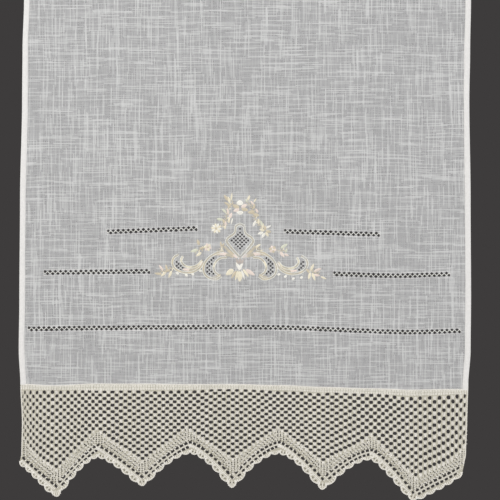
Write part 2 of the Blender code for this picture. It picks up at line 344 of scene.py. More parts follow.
def sheet_piece(name, outline, gaps, extra, thickness, material):
    """A hanging sheet with its gaps cut through, from loops of x and z."""
    points, faces = [], []
    for loop in [outline, *gaps]:
        faces.append(list(range(len(points), len(points) + len(loop))))
        points += [tuple(map(float, point)) for point in loop]
    points += [tuple(map(float, point)) for point in extra]
    made, _, triangles, _, _, origins = delaunay_2d_cdt(points, [], faces, 0, 1e-4)
    kept = [t for t, origin in zip(triangles, origins) if origin == [0]]
    mesh = bpy.data.meshes.new(name)
    mesh.from_pydata(hung(flat([tuple(p) for p in made])).tolist(), [], kept)
    work = bmesh.new()
    work.from_mesh(mesh)
    loose = [v for v in work.verts if not v.link_faces]
    bmesh.ops.delete(work, geom=loose, context="VERTS")
    bmesh.ops.recalc_face_normals(work, faces=work.faces)
    work.to_mesh(mesh)
    work.free()
    piece = add_object(name, mesh, material)
    thicken(piece, thickness)
    smooth(piece, 50.0)
    return piece


def cord_piece(name, paths, radius, material):
    """Cords along paths of flat points, hung on the cloth, as one mesh."""
    curve = bpy.data.curves.new(name, "CURVE")
    curve.dimensions = "3D"
    curve.bevel_depth = radius * MM
    curve.bevel_resolution = 1
    curve.use_fill_caps = True
    for path in paths:
        spline = curve.splines.new("POLY")
        spline.points.add(len(path) - 1)
        spline.points.foreach_set("co", np.column_stack([hung(path), np.ones(len(path))]).ravel())
    piece = add_object(name, curve, material)
    activate(piece)
    bpy.ops.object.convert(target="MESH")
    smooth(bpy.context.object, 60.0)
    return bpy.context.object


def joined(pieces, name):
    """Several pieces as one, with the name given."""
    activate(pieces[0])
    for piece in pieces:
        piece.select_set(True)
    bpy.ops.object.join()
    pieces[0].name = pieces[0].data.name = name
    return pieces[0]


def worked(piece, slot, *nodes):
    """Says what a piece rides on and which solids it stands for. Its slot, the finish, is not used."""
    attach(piece, "root")
    if nodes:
        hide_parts(*nodes)
    return piece


# Stitches are modelled once, one unit wide and high, and then placed many times.
Stitch = namedtuple("Stitch", "points faces")
POST_RINGS = ((-0.5, 0.62), (-0.18, 1.0), (0.18, 1.0), (0.5, 0.62))
KNOT_RINGS = ((-0.5, 0.45), (-0.2, 0.95), (0.2, 0.95), (0.5, 0.45))
SATIN_THREADS = 12


def satin_rings():
    """A leaf's outline with a groove between each pair of thread bundles."""
    rings = []
    for i in range(SATIN_THREADS + 1):
        share = i / SATIN_THREADS
        width = math.sin(math.pi * (0.04 + 0.92 * share) ** 0.8) ** 0.75
        rings.append((share - 0.5, width * (0.86 if i % 2 else 1.0)))
    return tuple(rings)


def model_stitch(rings, sides=6):
    """A cylinder cut at each ring and drawn in or let out to the ring's width."""
    deselect()
    bpy.ops.mesh.primitive_cylinder_add(vertices=sides, radius=0.5, depth=1.0)
    piece = bpy.context.object
    bpy.ops.object.mode_set(mode="EDIT")
    for height, _ in rings[1:-1]:
        bpy.ops.mesh.select_all(action="SELECT")
        bpy.ops.mesh.bisect(plane_co=(0.0, 0.0, height), plane_no=(0.0, 0.0, 1.0))
    for height, width in rings:
        work = bmesh.from_edit_mesh(piece.data)
        for vertex in work.verts:
            vertex.select = abs(vertex.co.z - height) < 1e-4
        work.select_flush_mode()
        bmesh.update_edit_mesh(piece.data)
        bpy.ops.transform.resize(value=(width, width, 1.0))
    bpy.ops.object.mode_set(mode="OBJECT")
    points = np.array([tuple(vertex.co) for vertex in piece.data.vertices])
    faces = [tuple(face.vertices) for face in piece.data.polygons]
    bpy.data.objects.remove(piece, do_unlink=True)
    return Stitch(points, faces)


Place = namedtuple("Place", "x z width height depth turn y", defaults=(1.0, 0.0, 0.0))


def scattered(name, stitch, places, material, smooth_angle=60.0):
    """One piece with a copy of the stitch at each place, leaning by its turn to the left."""
    places = np.array(places, float)
    x, z, width, height, depth, turn, y = (column[:, None] for column in places.T)
    across, up = stitch.points[:, 0] * width, stitch.points[:, 2] * height
    spread_x, spread_z = turned(x, z, across, up, turn)
    spread_y = y + stitch.points[:, 1] * depth
    points = np.stack([spread_x, spread_y, spread_z], axis=2).reshape(-1, 3)
    size = len(stitch.points)
    faces = [
        tuple(size * i + corner for corner in face)
        for i in range(len(places))
        for face in stitch.faces
    ]
    return mesh_piece(name, hung(points), faces, material, smooth_angle)


# Materials


def hex_colour(text):
    """An sRGB hex colour as linear red, green and blue."""
    parts = [int(text[i : i + 2], 16) / 255.0 for i in (1, 3, 5)]
    return tuple(p / 12.92 if p <= 0.04045 else ((p + 0.055) / 1.055) ** 2.4 for p in parts)


def solid(colour):
    return (*colour, 1.0)


def darker(colour, share):
    return tuple(part * share for part in colour)


def set_inputs(material, made, inputs):
    """Sets or links a node's inputs, each given by name or number."""
    for key, value in dict(inputs).items():
        if isinstance(value, bpy.types.NodeSocket):
            material.node_tree.links.new(value, made.inputs[key])
        else:
            made.inputs[key].default_value = value


def add_node(material, kind, inputs=(), output=0, **settings):
    """Adds a node with its settings, sets or links its inputs, and gives one of its outputs."""
    made = material.node_tree.nodes.new("ShaderNode" + kind)
    for key, value in settings.items():
        setattr(made, key, value)
    set_inputs(material, made, inputs)
    return made.outputs[output]


def new_material(name):
    material = bpy.data.materials.new(name)
    material.use_nodes = True
    return material


def finished(material, inputs):
    """Sets or links the inputs of a material's Principled shader. Its IOR of 1.5 is also that of cotton."""
    set_inputs(material, material.node_tree.nodes["Principled BSDF"], inputs)
    return material


def streaks(material, length, shift, low, high):
    """Soft marks of a length in millimetres along X, Y and Z, from 0 to 1."""
    node = partial(add_node, material)
    scale = tuple(1.0 / (size * MM) for size in length)
    place = {"Vector": node("TexCoord", output="Object"), "Scale": scale}
    place["Location"] = (shift, 0.0, shift * 1.7)
    marks = {"Vector": node("Mapping", place), "Scale": 1.0, "Detail": 1.0, "Roughness": 0.4}
    return node("MapRange", {"Value": node("TexNoise", marks), "From Min": low, "From Max": high})


# Threads of the sheer cloth, the same both ways: pitch and length in millimetres, share of the lengths
# that stay thin, and weight. Slubs are thick places 15 to 60 mm long in single threads, drawn 1.2 mm
# thick. The finer threads between them are drawn 0.8 mm apart. Both are coarser than the real ones,
# so that they show.
SHEER_THREADS = ((1.2, 26.0, 0.72, 0.62), (1.35, 52.0, 0.8, 0.62), (0.8, 17.0, 0.2, 0.2))
# A thread wanders from its line by up to this many threads, with 14 turns in a metre, and its lengths
# start up to 9 lengths apart from those of the thread beside it.
THREAD_WANDER, WANDER_TURNS, THREAD_SHIFT = 2.2, 14.0, 9.0
# The share of the light that the bare weave and a slub hold back in each of the cloth's two faces
SHEER_COVER = (0.309, 0.498)


def slub_threads(material, along, pitch, length, low, seed):
    """Threads side by side, cut into lengths that are bright by chance: 0 to 1."""
    node = partial(add_node, material)
    place = node("TexCoord", output="Object")
    parts = node("SeparateXYZ", {0: place}).node.outputs
    line, side = (parts["X"], parts["Z"]) if along == "x" else (parts["Z"], parts["X"])
    drift = node("TexNoise", {"Vector": place, "Scale": WANDER_TURNS, "Detail": 0.0})
    wander = node("Math", {0: drift, 1: THREAD_WANDER}, operation="MULTIPLY")
    row = node("Math", {0: side, 1: 1.0 / (pitch * MM), 2: wander}, operation="MULTIPLY_ADD")
    row = node("Math", {0: row}, operation="FLOOR")
    shift = node("TexWhiteNoise", {"Vector": node("CombineXYZ", {0: row, 1: seed})})
    start = node("Math", {0: shift, 1: THREAD_SHIFT}, operation="MULTIPLY")
    piece = node("Math", {0: line, 1: 1.0 / (length * MM), 2: start}, operation="MULTIPLY_ADD")
    whole = node("Math", {0: piece}, operation="FLOOR")
    chance = node("TexWhiteNoise", {"Vector": node("CombineXYZ", {0: row, 1: whole, 2: seed})})
    return node("MapRange", {"Value": chance, "From Min": low, "From Max": 1.0})


def sheer_cotton(thread, slub, name):
    """Plain woven cotton with slubs.

    The open weave is matt and half seen through, and its slubs show as short bright dashes both ways.
    """
    material = new_material(name)
    node = partial(add_node, material)
    solidity, seed = 0.0, 0.0
    for pitch, length, low, weight in SHEER_THREADS:
        for along in ("x", "z"):
            seed += 1.0
            terms = {0: slub_threads(material, along, pitch, length, low, seed), 1: weight, 2: solidity}
            solidity = node("Math", terms, operation="MULTIPLY_ADD", use_clamp=True)
    cover = {"Value": solidity, "To Min": SHEER_COVER[0], "To Max": SHEER_COVER[1]}
    tints = {0: solidity, 6: solid(thread), 7: solid(slub)}
    look = {"Roughness": 0.9, "Sheen Weight": 0.1, "Specular IOR Level": 0.2}
    look["Alpha"] = node("MapRange", cover)
    look["Base Color"] = node("Mix", tints, 2, data_type="RGBA")
    look["Normal"] = node("Bump", {"Height": solidity, "Distance": 0.25 * MM})
    return finished(material, look)


# The opaque cottons by colour: name, brightness of the darker tone, size of the grain and height of the
# twist, both in millimetres. The darker tone is partly random and partly painted shade in the twist's
# grooves. The grain is drawn two to three times as coarse as the real yarn's twist of 0.3 to 0.4 mm, so
# that it shows.
COTTONS = {
    # Woven cotton pressed into three layers: smooth, matt and nearly white
    "hem": ("folded_cotton", 0.9, 1.2, 0.12),
    # Spun and crocheted cotton: round matt yarn, painted lighter on the raised parts of its twist
    "yarn": ("crochet_yarn", 0.8, 0.9, 0.15),
    # The same yarn between the stitches, painted darker for the shade it lies in between them
    "ground": ("crochet_ground", 0.8, 0.9, 0.15),
}


def plain_cotton(light, shade, grain, raised, name):
    """Opaque spun cotton: matt, with soft changes of tone, a fine twist and painted shade in the twist's
    grooves.
    """
    material = new_material(name)
    node = partial(add_node, material)
    tone = streaks(material, (grain * 2.6, grain * 2.6, grain * 2.6), 2.2, 0.32, 0.68)
    twist = streaks(material, (grain, grain, grain * 0.6), 4.1, 0.3, 0.7)
    # The tone follows the twist's height as well as random marks: painted shade in its grooves and painted
    # light on its raised parts.
    share = node("Mix", {0: 0.45, 2: tone, 3: twist})
    tints = {0: share, 6: solid(darker(light, shade)), 7: solid(light)}
    look = {"Roughness": 0.82, "Sheen Weight": 0.15, "Specular IOR Level": 0.25}
    look["Base Color"] = node("Mix", tints, 2, data_type="RGBA")
    look["Normal"] = node("Bump", {"Height": twist, "Distance": raised * MM})
    return finished(material, look)


def satin_thread(colour, name):
    """Mercerised cotton thread, laid side by side in satin stitch or over a core as a cord.

    It has a soft gloss across the stitches, and its tone changes over about 4 mm, the length of a stitch.
    """
    material = new_material(name)
    tone = streaks(material, (4.0, 4.0, 4.0), 3.3, 0.25, 0.75)
    tints = {0: tone, 6: solid(darker(colour, 0.86)), 7: solid(colour)}
    look = {"Roughness": 0.5, "Sheen Weight": 0.2, "Specular IOR Level": 0.4}
    look["Base Color"] = add_node(material, "Mix", tints, 2, data_type="RGBA")
    return finished(material, look)


# Sheer cloth


def sewn(name, slot, stitches):
    """Sewn stitches as one piece."""
    worked(scattered(name, model_stitch(KNOT_RINGS, 5), stitches, cotton("hem")), slot)


def panel_outline(inset, seam_overlap, spacing):
    """The cloth under the pocket, drawn in from its side edges and lapped over the edging."""
    top = -POCKET_DEPTH - POCKET_SEAM + 2.0
    edges = []
    for side, x in zip(INWARD, seam_sides()):
        z = np.arange(top, seam_height(x), -spacing)
        edges.append(np.column_stack([side_x(z, side) + INWARD[side] * inset, z]))
    left, right = edges
    x = np.linspace(*seam_sides(inset), 60)
    bottom = np.column_stack([x, seam_height(x) - seam_overlap])
    across = np.linspace(left[0, 0], right[0, 0], 50)[1:-1]
    head = np.column_stack([across, np.full(len(across), top)])
    return np.vstack([left, bottom, right[::-1], head[::-1]])


def inner_points(spacing):
    """A grid of points inside the cloth, so that it can follow its folds."""
    points = []
    for z in np.arange(GRID_TOP, GRID_FOOT, -spacing):
        points += [(x, z) for x in across_cloth(z, *GRID_MARGINS, spacing)]
    return points


def ladder_steps(ladder):
    """Quarter steps of a ladder's repeats: places, normals, and how many repeats there are."""
    length = np.linalg.norm(np.diff(np.array(ladder), axis=0), axis=1).sum()
    repeats = round(length / LADDER_PITCH)
    places, normals = smooth_path(ladder, length / (4 * repeats))
    return places, normals, repeats


def ladder_gaps(rough):
    """Two staggered rows of gaps for each ladder."""
    gaps = []
    for ladder in LADDERS:
        places, normals, repeats = ladder_steps(ladder)
        for step in range(1, 4 * repeats, 2):
            side = 1.0 if step % 4 == 1 else -1.0
            x, z = places[step] + normals[step] * side * LADDER_ROW
            size = rough.uniform(0.9, 1.1)
            half = [reach * size for reach in LADDER_GAP]
            gaps.append(ring(x, z, *half, rough.uniform(-0.1, 0.1), waist=0.74))
    return gaps


def length_property(name, description, size):
    return FloatProperty(name=name, description=description, default=size * MM, unit="LENGTH")


class CurtainSizes(PropertyGroup):
    cloth_thickness: length_property("Cloth Thickness", "Thickness of the sheer cloth", 0.4)
    hem_width: length_property("Hem Width", "Width of the turned side hems", 7.5)
    hem_thickness: length_property("Hem Thickness", "Thickness of the three layers of a hem", 1.7)
    yarn_width: length_property("Yarn Width", "Width of one crocheted post", 1.55)
    ground_thickness: length_property("Ground Thickness", "Thickness of the crochet under the posts", 0.9)
    floor_drop: length_property("Floor Drop", "Distance of the floor below the top edge", 1250.0)


def colour_property(name, description, text):
    return FloatVectorProperty(
        name=name, description=description, subtype="COLOR", min=0.0, max=1.0, default=hex_colour(text)
    )


class CurtainColours(PropertyGroup):
    sheer: colour_property("Sheer Thread", "Ground threads of the sheer cloth", "#DCDCDC")
    slub: colour_property("Slub Thread", "Thick threads of the sheer cloth", "#F4F4F3")
    hem: colour_property("Hem", "Three layers of the cloth", "#EDEBE8")
    yarn: colour_property("Crochet Yarn", "Raised crochet yarn", "#FAF6ED")
    # Painted shade: the crochet yarn drawn darker where it lies between the stitches
    ground: colour_property("Crochet Ground", "Shaded yarn between the stitches", "#C8C3B2")
    white: colour_property("White Thread", "Lightest embroidery thread", "#F9F6EC")
    cream: colour_property("Cream Thread", "Cream embroidery thread", "#F3EAD1")
    beige: colour_property("Beige Thread", "Beige embroidery thread", "#D6CAB1")
    rose: colour_property("Rose Thread", "Pale rose embroidery thread", "#F1E1D6")
    sage: colour_property("Sage Thread", "Pale green embroidery thread", "#DFE0CC")
    ivory: colour_property("Ivory Thread", "Dull ivory thread of the filled bands", "#C7BFAD")
    shade: colour_property("Shade Thread", "Grey-rose thread above the shell", "#C4B9B1")
    outline: colour_property("Outline Thread", "Nearly white thread of the corded outlines", "#F9F9F0")


def colours():
    chosen = bpy.context.scene.curtain_colours
    return {key: tuple(getattr(chosen, key)) for key in CurtainColours.__annotations__}


def sizes():
    """The chosen sizes in millimetres."""
    chosen = bpy.context.scene.curtain_sizes
    return {key: getattr(chosen, key) / MM for key in CurtainSizes.__annotations__}


def cotton(key):
    """The material in one of the curtain's colours, made at its first use."""
    tones = colours()
    if key == "sheer":
        name, maker = "slubbed_sheer_cotton", partial(sheer_cotton, tones[key], tones["slub"])
    elif key in COTTONS:
        name, *how = COTTONS[key]
        maker = partial(plain_cotton, tones[key], *how)
    else:
        name = "outline_thread" if key == "outline" else "satin_thread_" + key
        maker = partial(satin_thread, tones[key])
    return bpy.data.materials.get(name) or maker(name)


class CURTAIN_OT_cloth(Operator):
    """Makes the sheer cloth under the pocket, with its drawn gaps and openwork cut through"""

    bl_idname = "curtain.cloth"
    bl_label = "Sheer Cloth"

    def execute(self, context):
        size = sizes()
        rough = np.random.default_rng(11)
        gaps = ladder_gaps(rough) + motif_gaps()
        cloth = sheet_piece(
            "sheer_cloth",
            panel_outline(size["hem_width"] * HEM_LAP, SEAM_OVERLAP, EDGE_STEP),
            gaps,
            inner_points(GRID_STEP),
            size["cloth_thickness"],
            cotton("sheer"),
        )
        worked(cloth, "sheer_cotton", "panel")
        return {"FINISHED"}


HEM_SECTION = (
    (0.0, -0.35), (0.06, -0.5), (0.94, -0.5), (1.0, -0.3), (1.0, 0.3), (0.94, 0.5), (0.06, 0.5),
    (0.0, 0.35),
)


def strip_piece(side, heights, width, thickness, seed):
    """A folded hem along a side edge: a flat section swept down the cloth, uneven as hand-pressed cloth."""
    rough = np.random.default_rng(seed)
    wander = np.convolve(rough.normal(0.0, 0.5, len(heights) + 6), np.ones(7) / 7.0, "valid")
    points = [
        (side_x(z, side) + INWARD[side] * across * (width + extra), up * thickness, z)
        for z, extra in zip(heights, wander)
        for across, up in HEM_SECTION
    ]
    size = len(HEM_SECTION)
    last = size * (len(heights) - 1)
    faces = [tuple(range(size))]
    for i in range(0, last, size):
        for k in range(size):
            n = (k + 1) % size
            faces.append((i + k, i + n, i + size + n, i + size + k))
    faces.append(tuple(last + k for k in reversed(range(size))))
    piece = mesh_piece("hem_" + side, hung(points), faces, cotton("hem"), 60.0)
    activate(piece)
    bpy.ops.object.mode_set(mode="EDIT")
    bpy.ops.mesh.select_all(action="SELECT")
    bpy.ops.mesh.normals_make_consistent(inside=False)
    bpy.ops.object.mode_set(mode="OBJECT")
    return piece


class CURTAIN_OT_hems(Operator):
    """Makes the turned side hems with their sewn stitches"""

    bl_idname = "curtain.hems"
    bl_label = "Side Hems"

    def execute(self, context):
        size = sizes()
        width, thickness = size["hem_width"], size["hem_thickness"]
        strips, stitches = [], []
        for seed, (side, edge) in enumerate(zip(INWARD, seam_sides())):
            foot = seam_height(edge) - 1.0
            heights = np.append(np.arange(HEM_TOP, foot, -HEM_STEP), foot)
            strips.append(strip_piece(side, heights, width, thickness, seed))
            for z in np.arange(HEM_TOP - 3.0, foot + 2.0, -SEWN_PITCH):
                x = side_x(z, side) + INWARD[side] * (width - SEWN_INSET)
                for face in (-1.0, 1.0):
                    stitches.append(Place(x, z, *SEWN_STITCH, y=face * thickness * 0.5))
        worked(joined(strips, "side_hems"), "sheer_cotton")
        sewn("hem_stitches", "sheer_cotton", stitches)
        return {"FINISHED"}


def pocket_profile():
    """The pocket's wall from the front seam over its top to the back seam, as y and z."""
    centre = -0.5 - POCKET_RADIUS
    z = np.linspace(-POCKET_DEPTH, centre, 14)[:-1]
    share = (centre - z) / (centre + POCKET_DEPTH)
    half = 0.5 + (POCKET_RADIUS - 0.5) * (1.0 + np.cos(math.pi * share)) / 2.0
    turn = np.linspace(0.0, math.pi, 15)
    front = np.column_stack([-half, z])
    arc = np.column_stack([-POCKET_RADIUS * np.cos(turn), centre + POCKET_RADIUS * np.sin(turn)])
    back = front[::-1] * (-1.0, 1.0)
    foot = [(-0.5, -POCKET_DEPTH - POCKET_SEAM), (-0.5, -POCKET_DEPTH - POCKET_SEAM / 2.0)]
    tail = [(0.5, z) for _, z in reversed(foot)]
    return np.vstack([foot, front, arc, back, tail])


def pocket_wave(x, z):
    """Small unevenness of the empty pocket's walls, none at its seam."""
    loose = eased(z, -POCKET_DEPTH, -POCKET_DEPTH / 2.0)
    return loose * (0.35 * np.sin(x / 37.0 + 1.0) + 0.25 * np.sin(x / 15.0 + z / 9.0))


def pocket_strip(name, start, end, columns, thickness, material):
    """The pocket's wall between two places across the curtain, each a share and millimetres."""
    profile = pocket_profile()
    points = []
    for share in np.linspace(0.0, 1.0, columns):
        for y, z in profile:
            low = mix(side_x(z, "left"), side_x(z, "right"), start[0]) + start[1]
            high = mix(side_x(z, "left"), side_x(z, "right"), end[0]) + end[1]
            x = mix(low, high, share)
            points.append((x, y + math.copysign(1.0, y) * pocket_wave(x, z), z))
    size = len(profile)
    faces = []
    for i in range(columns - 1):
        for k in range(size - 1):
            faces.append((size * i + k, size * (i + 1) + k, size * (i + 1) + k + 1, size * i + k + 1))
    piece = mesh_piece(name, np.array(points) * MM, faces, material, 60.0)
    thicken(piece, thickness)
    smooth(piece, 60.0)
    return piece


class CURTAIN_OT_pocket(Operator):
    """Makes the empty rod pocket, its hemmed ends and its seam"""

    bl_idname = "curtain.pocket"
    bl_label = "Rod Pocket"

    def execute(self, context):
        size = sizes()
        hem = size["hem_width"]
        lap, thickness = hem * HEM_LAP, size["cloth_thickness"]
        wall = pocket_strip("pocket_wall", (0.0, lap), (1.0, -lap), 70, thickness, cotton("sheer"))
        worked(wall, "pocket_cotton", "rod_pocket")
        ends = [
            pocket_strip("pocket_end_" + side, start, end, 3, POCKET_END, cotton("hem"))
            for side, start, end in (("left", (0.0, 0.0), (0.0, hem)), ("right", (1.0, -hem), (1.0, 0.0)))
        ]
        worked(joined(ends, "pocket_ends"), "pocket_cotton")
        stitches = []
        for z in (-POCKET_DEPTH - 1.0, -POCKET_DEPTH - 3.0):
            for x in across_cloth(z, 3.0, 2.0, SEWN_PITCH):
                for face in (-SEAM_FACE, SEAM_FACE):
                    stitches.append(Place(x, z, *SEWN_STITCH, turn=math.pi / 2.0, y=face))
        sewn("pocket_seam", "pocket_cotton", stitches)
        return {"FINISHED"}


def lean(normal, slant):
    """Turn of a stitch that lies across its path and slants."""
    return math.atan2(-normal[0], normal[1]) + slant


class CURTAIN_OT_ladders(Operator):
    """Makes the bundled threads of the drawn-thread ladders and their bound edges"""

    bl_idname = "curtain.ladders"
    bl_label = "Drawn-Thread Ladders"

    def execute(self, context):
        thick, thin = [], []
        for ladder in LADDERS:
            places, normals, _ = ladder_steps(ladder)
            step = np.arange(len(places))
            wave = np.select([step % 4 == 1, step % 4 == 3], [-1.0, 1.0], 0.0)
            thick.append(flat(places + normals * (wave * LADDER_ROW)[:, None]))
            for side in (1.0, -1.0):
                thin.append(flat(places + normals * (side * LADDER_EDGE)))
            for end in (0, -1):
                across = np.linspace(-4.0, 4.0, 9)[:, None]
                thin.append(flat(places[end] + normals[end] * across))
        pieces = [
            cord_piece("ladder_bundles", thick, BUNDLE_RADIUS, cotton("outline")),
            cord_piece("ladder_edges", thin, BINDING_RADIUS, cotton("hem")),
        ]
        worked(joined(pieces, "ladder_threads"), "sheer_cotton")
        return {"FINISHED"}


THREADS = ("white", "cream", "ivory", "beige", "rose", "sage", "shade")

# Stitched motif. Its places are measured from MOTIF_ORIGIN, and its scrolls are mirrored.
MOTIF_ORIGIN = np.array((-10.0, -575.9))
LATTICE_WIDTH = 5.5
LATTICE_ROW = 2.63
LATTICE_GAP = 1.5

OGEE_NET = (
    (0.0, 45.0), (1.8, 42.0), (2.0, 38.0), (5.2, 33.6), (9.4, 29.8), (14.2, 26.0), (8.6, 20.4), (4.0, 16.0),
    (0.0, 12.8),
)
OGEE_INNER = (
    (0.0, 47.2), (4.4, 44.6), (5.2, 39.6), (6.2, 35.2), (10.2, 31.8), (14.6, 29.0), (16.2, 25.2),
    (11.6, 18.8), (5.4, 11.6), (0.4, 6.0),
)
OGEE_OUTER = (
    (0.0, 50.0), (6.2, 47.2), (7.4, 41.2), (8.4, 37.2), (12.6, 34.0), (17.4, 30.4), (19.4, 24.4),
    (14.6, 17.0), (7.0, 8.6), (1.4, 2.0),
)
SCROLL_OUTER = (
    (-22.0, 12.0), (-33.0, 8.8), (-43.6, 1.2), (-48.9, -8.6), (-48.0, -18.0), (-41.6, -24.0),
    (-32.0, -25.9), (-25.6, -22.2),
)
SCROLL_INNER = (
    (-18.0, 3.4), (-27.0, 2.2), (-33.0, -3.2), (-35.4, -10.1), (-33.4, -16.6), (-28.8, -19.8),
)
SCROLL_NET = (
    (-32.0, 5.2), (-39.0, 1.6), (-45.2, -5.0), (-46.4, -13.0), (-44.0, -19.5), (-38.0, -21.0),
    (-34.0, -19.6), (-38.6, -15.0), (-40.0, -8.6), (-37.0, -2.0),
)
CURL_OUTER = (
    (-83.0, 7.2), (-89.0, 3.0), (-91.0, -4.4), (-86.3, -12.4), (-75.5, -16.8), (-63.4, -16.0),
    (-54.0, -10.4), (-49.6, -2.4),
)
CURL_INNER = (
    (-77.0, 5.0), (-79.2, -1.0), (-75.0, -7.2), (-67.0, -9.6), (-58.0, -7.4), (-51.0, -0.6),
)
CURL_NET = (
    (-84.0, 2.6), (-88.2, -2.4), (-86.6, -8.4), (-80.0, -13.4), (-70.0, -14.4), (-70.0, -11.6),
    (-77.4, -9.8), (-81.6, -3.6),
)
RIGHT_CURL_DROP = 1.8
# Half the distance between the paired cords of the scrolls and curls, and radius of every cord
CORD_PAIR, CORD_RADIUS = 1.45, 0.5

# Stitches of the filled bands: width, depth, slant in radians, and how many of a colour follow each other
FILL_WIDTH, FILL_DEPTH, FILL_SLANT, FILL_RUN = 1.5, 0.8, 0.45, 7
# Bands of short stitches that fill the frames: points, length of the stitches and thread colours
Band = namedtuple("Band", "points length colours")
OGEE_MIDDLE = tuple(((a + c) / 2.0, (b + d) / 2.0) for (a, b), (c, d) in zip(OGEE_INNER, OGEE_OUTER))
BANDS = (
    Band(OGEE_MIDDLE, 2.0, ("ivory",)),
    Band(SCROLL_OUTER, 3.0, ("ivory", "beige", "ivory")),
    Band(SCROLL_INNER, 3.0, ("ivory", "ivory", "cream")),
    Band(CURL_OUTER, 3.0, ("ivory", "beige")),
    Band(CURL_INNER, 3.0, ("cream", "ivory")),
    Band(((-76.0, -12.4), (-66.0, -12.8), (-57.4, -9.4), (-51.0, -3.0)), 5.6, ("rose", "ivory", "beige")),
    Band(((-35.0, 7.4), (-27.0, 8.6), (-18.0, 7.6), (-9.0, 4.4)), 5.8, ("beige", "rose", "ivory", "beige")),
    Band(((-20.5, 18.6), (-15.2, 12.4), (-9.4, 7.4), (-4.0, 3.4)), 5.4, ("ivory", "beige", "rose")),
    Band(((-38.0, -24.2), (-32.0, -22.6), (-26.6, -20.4)), 4.6, ("ivory", "beige")),
)

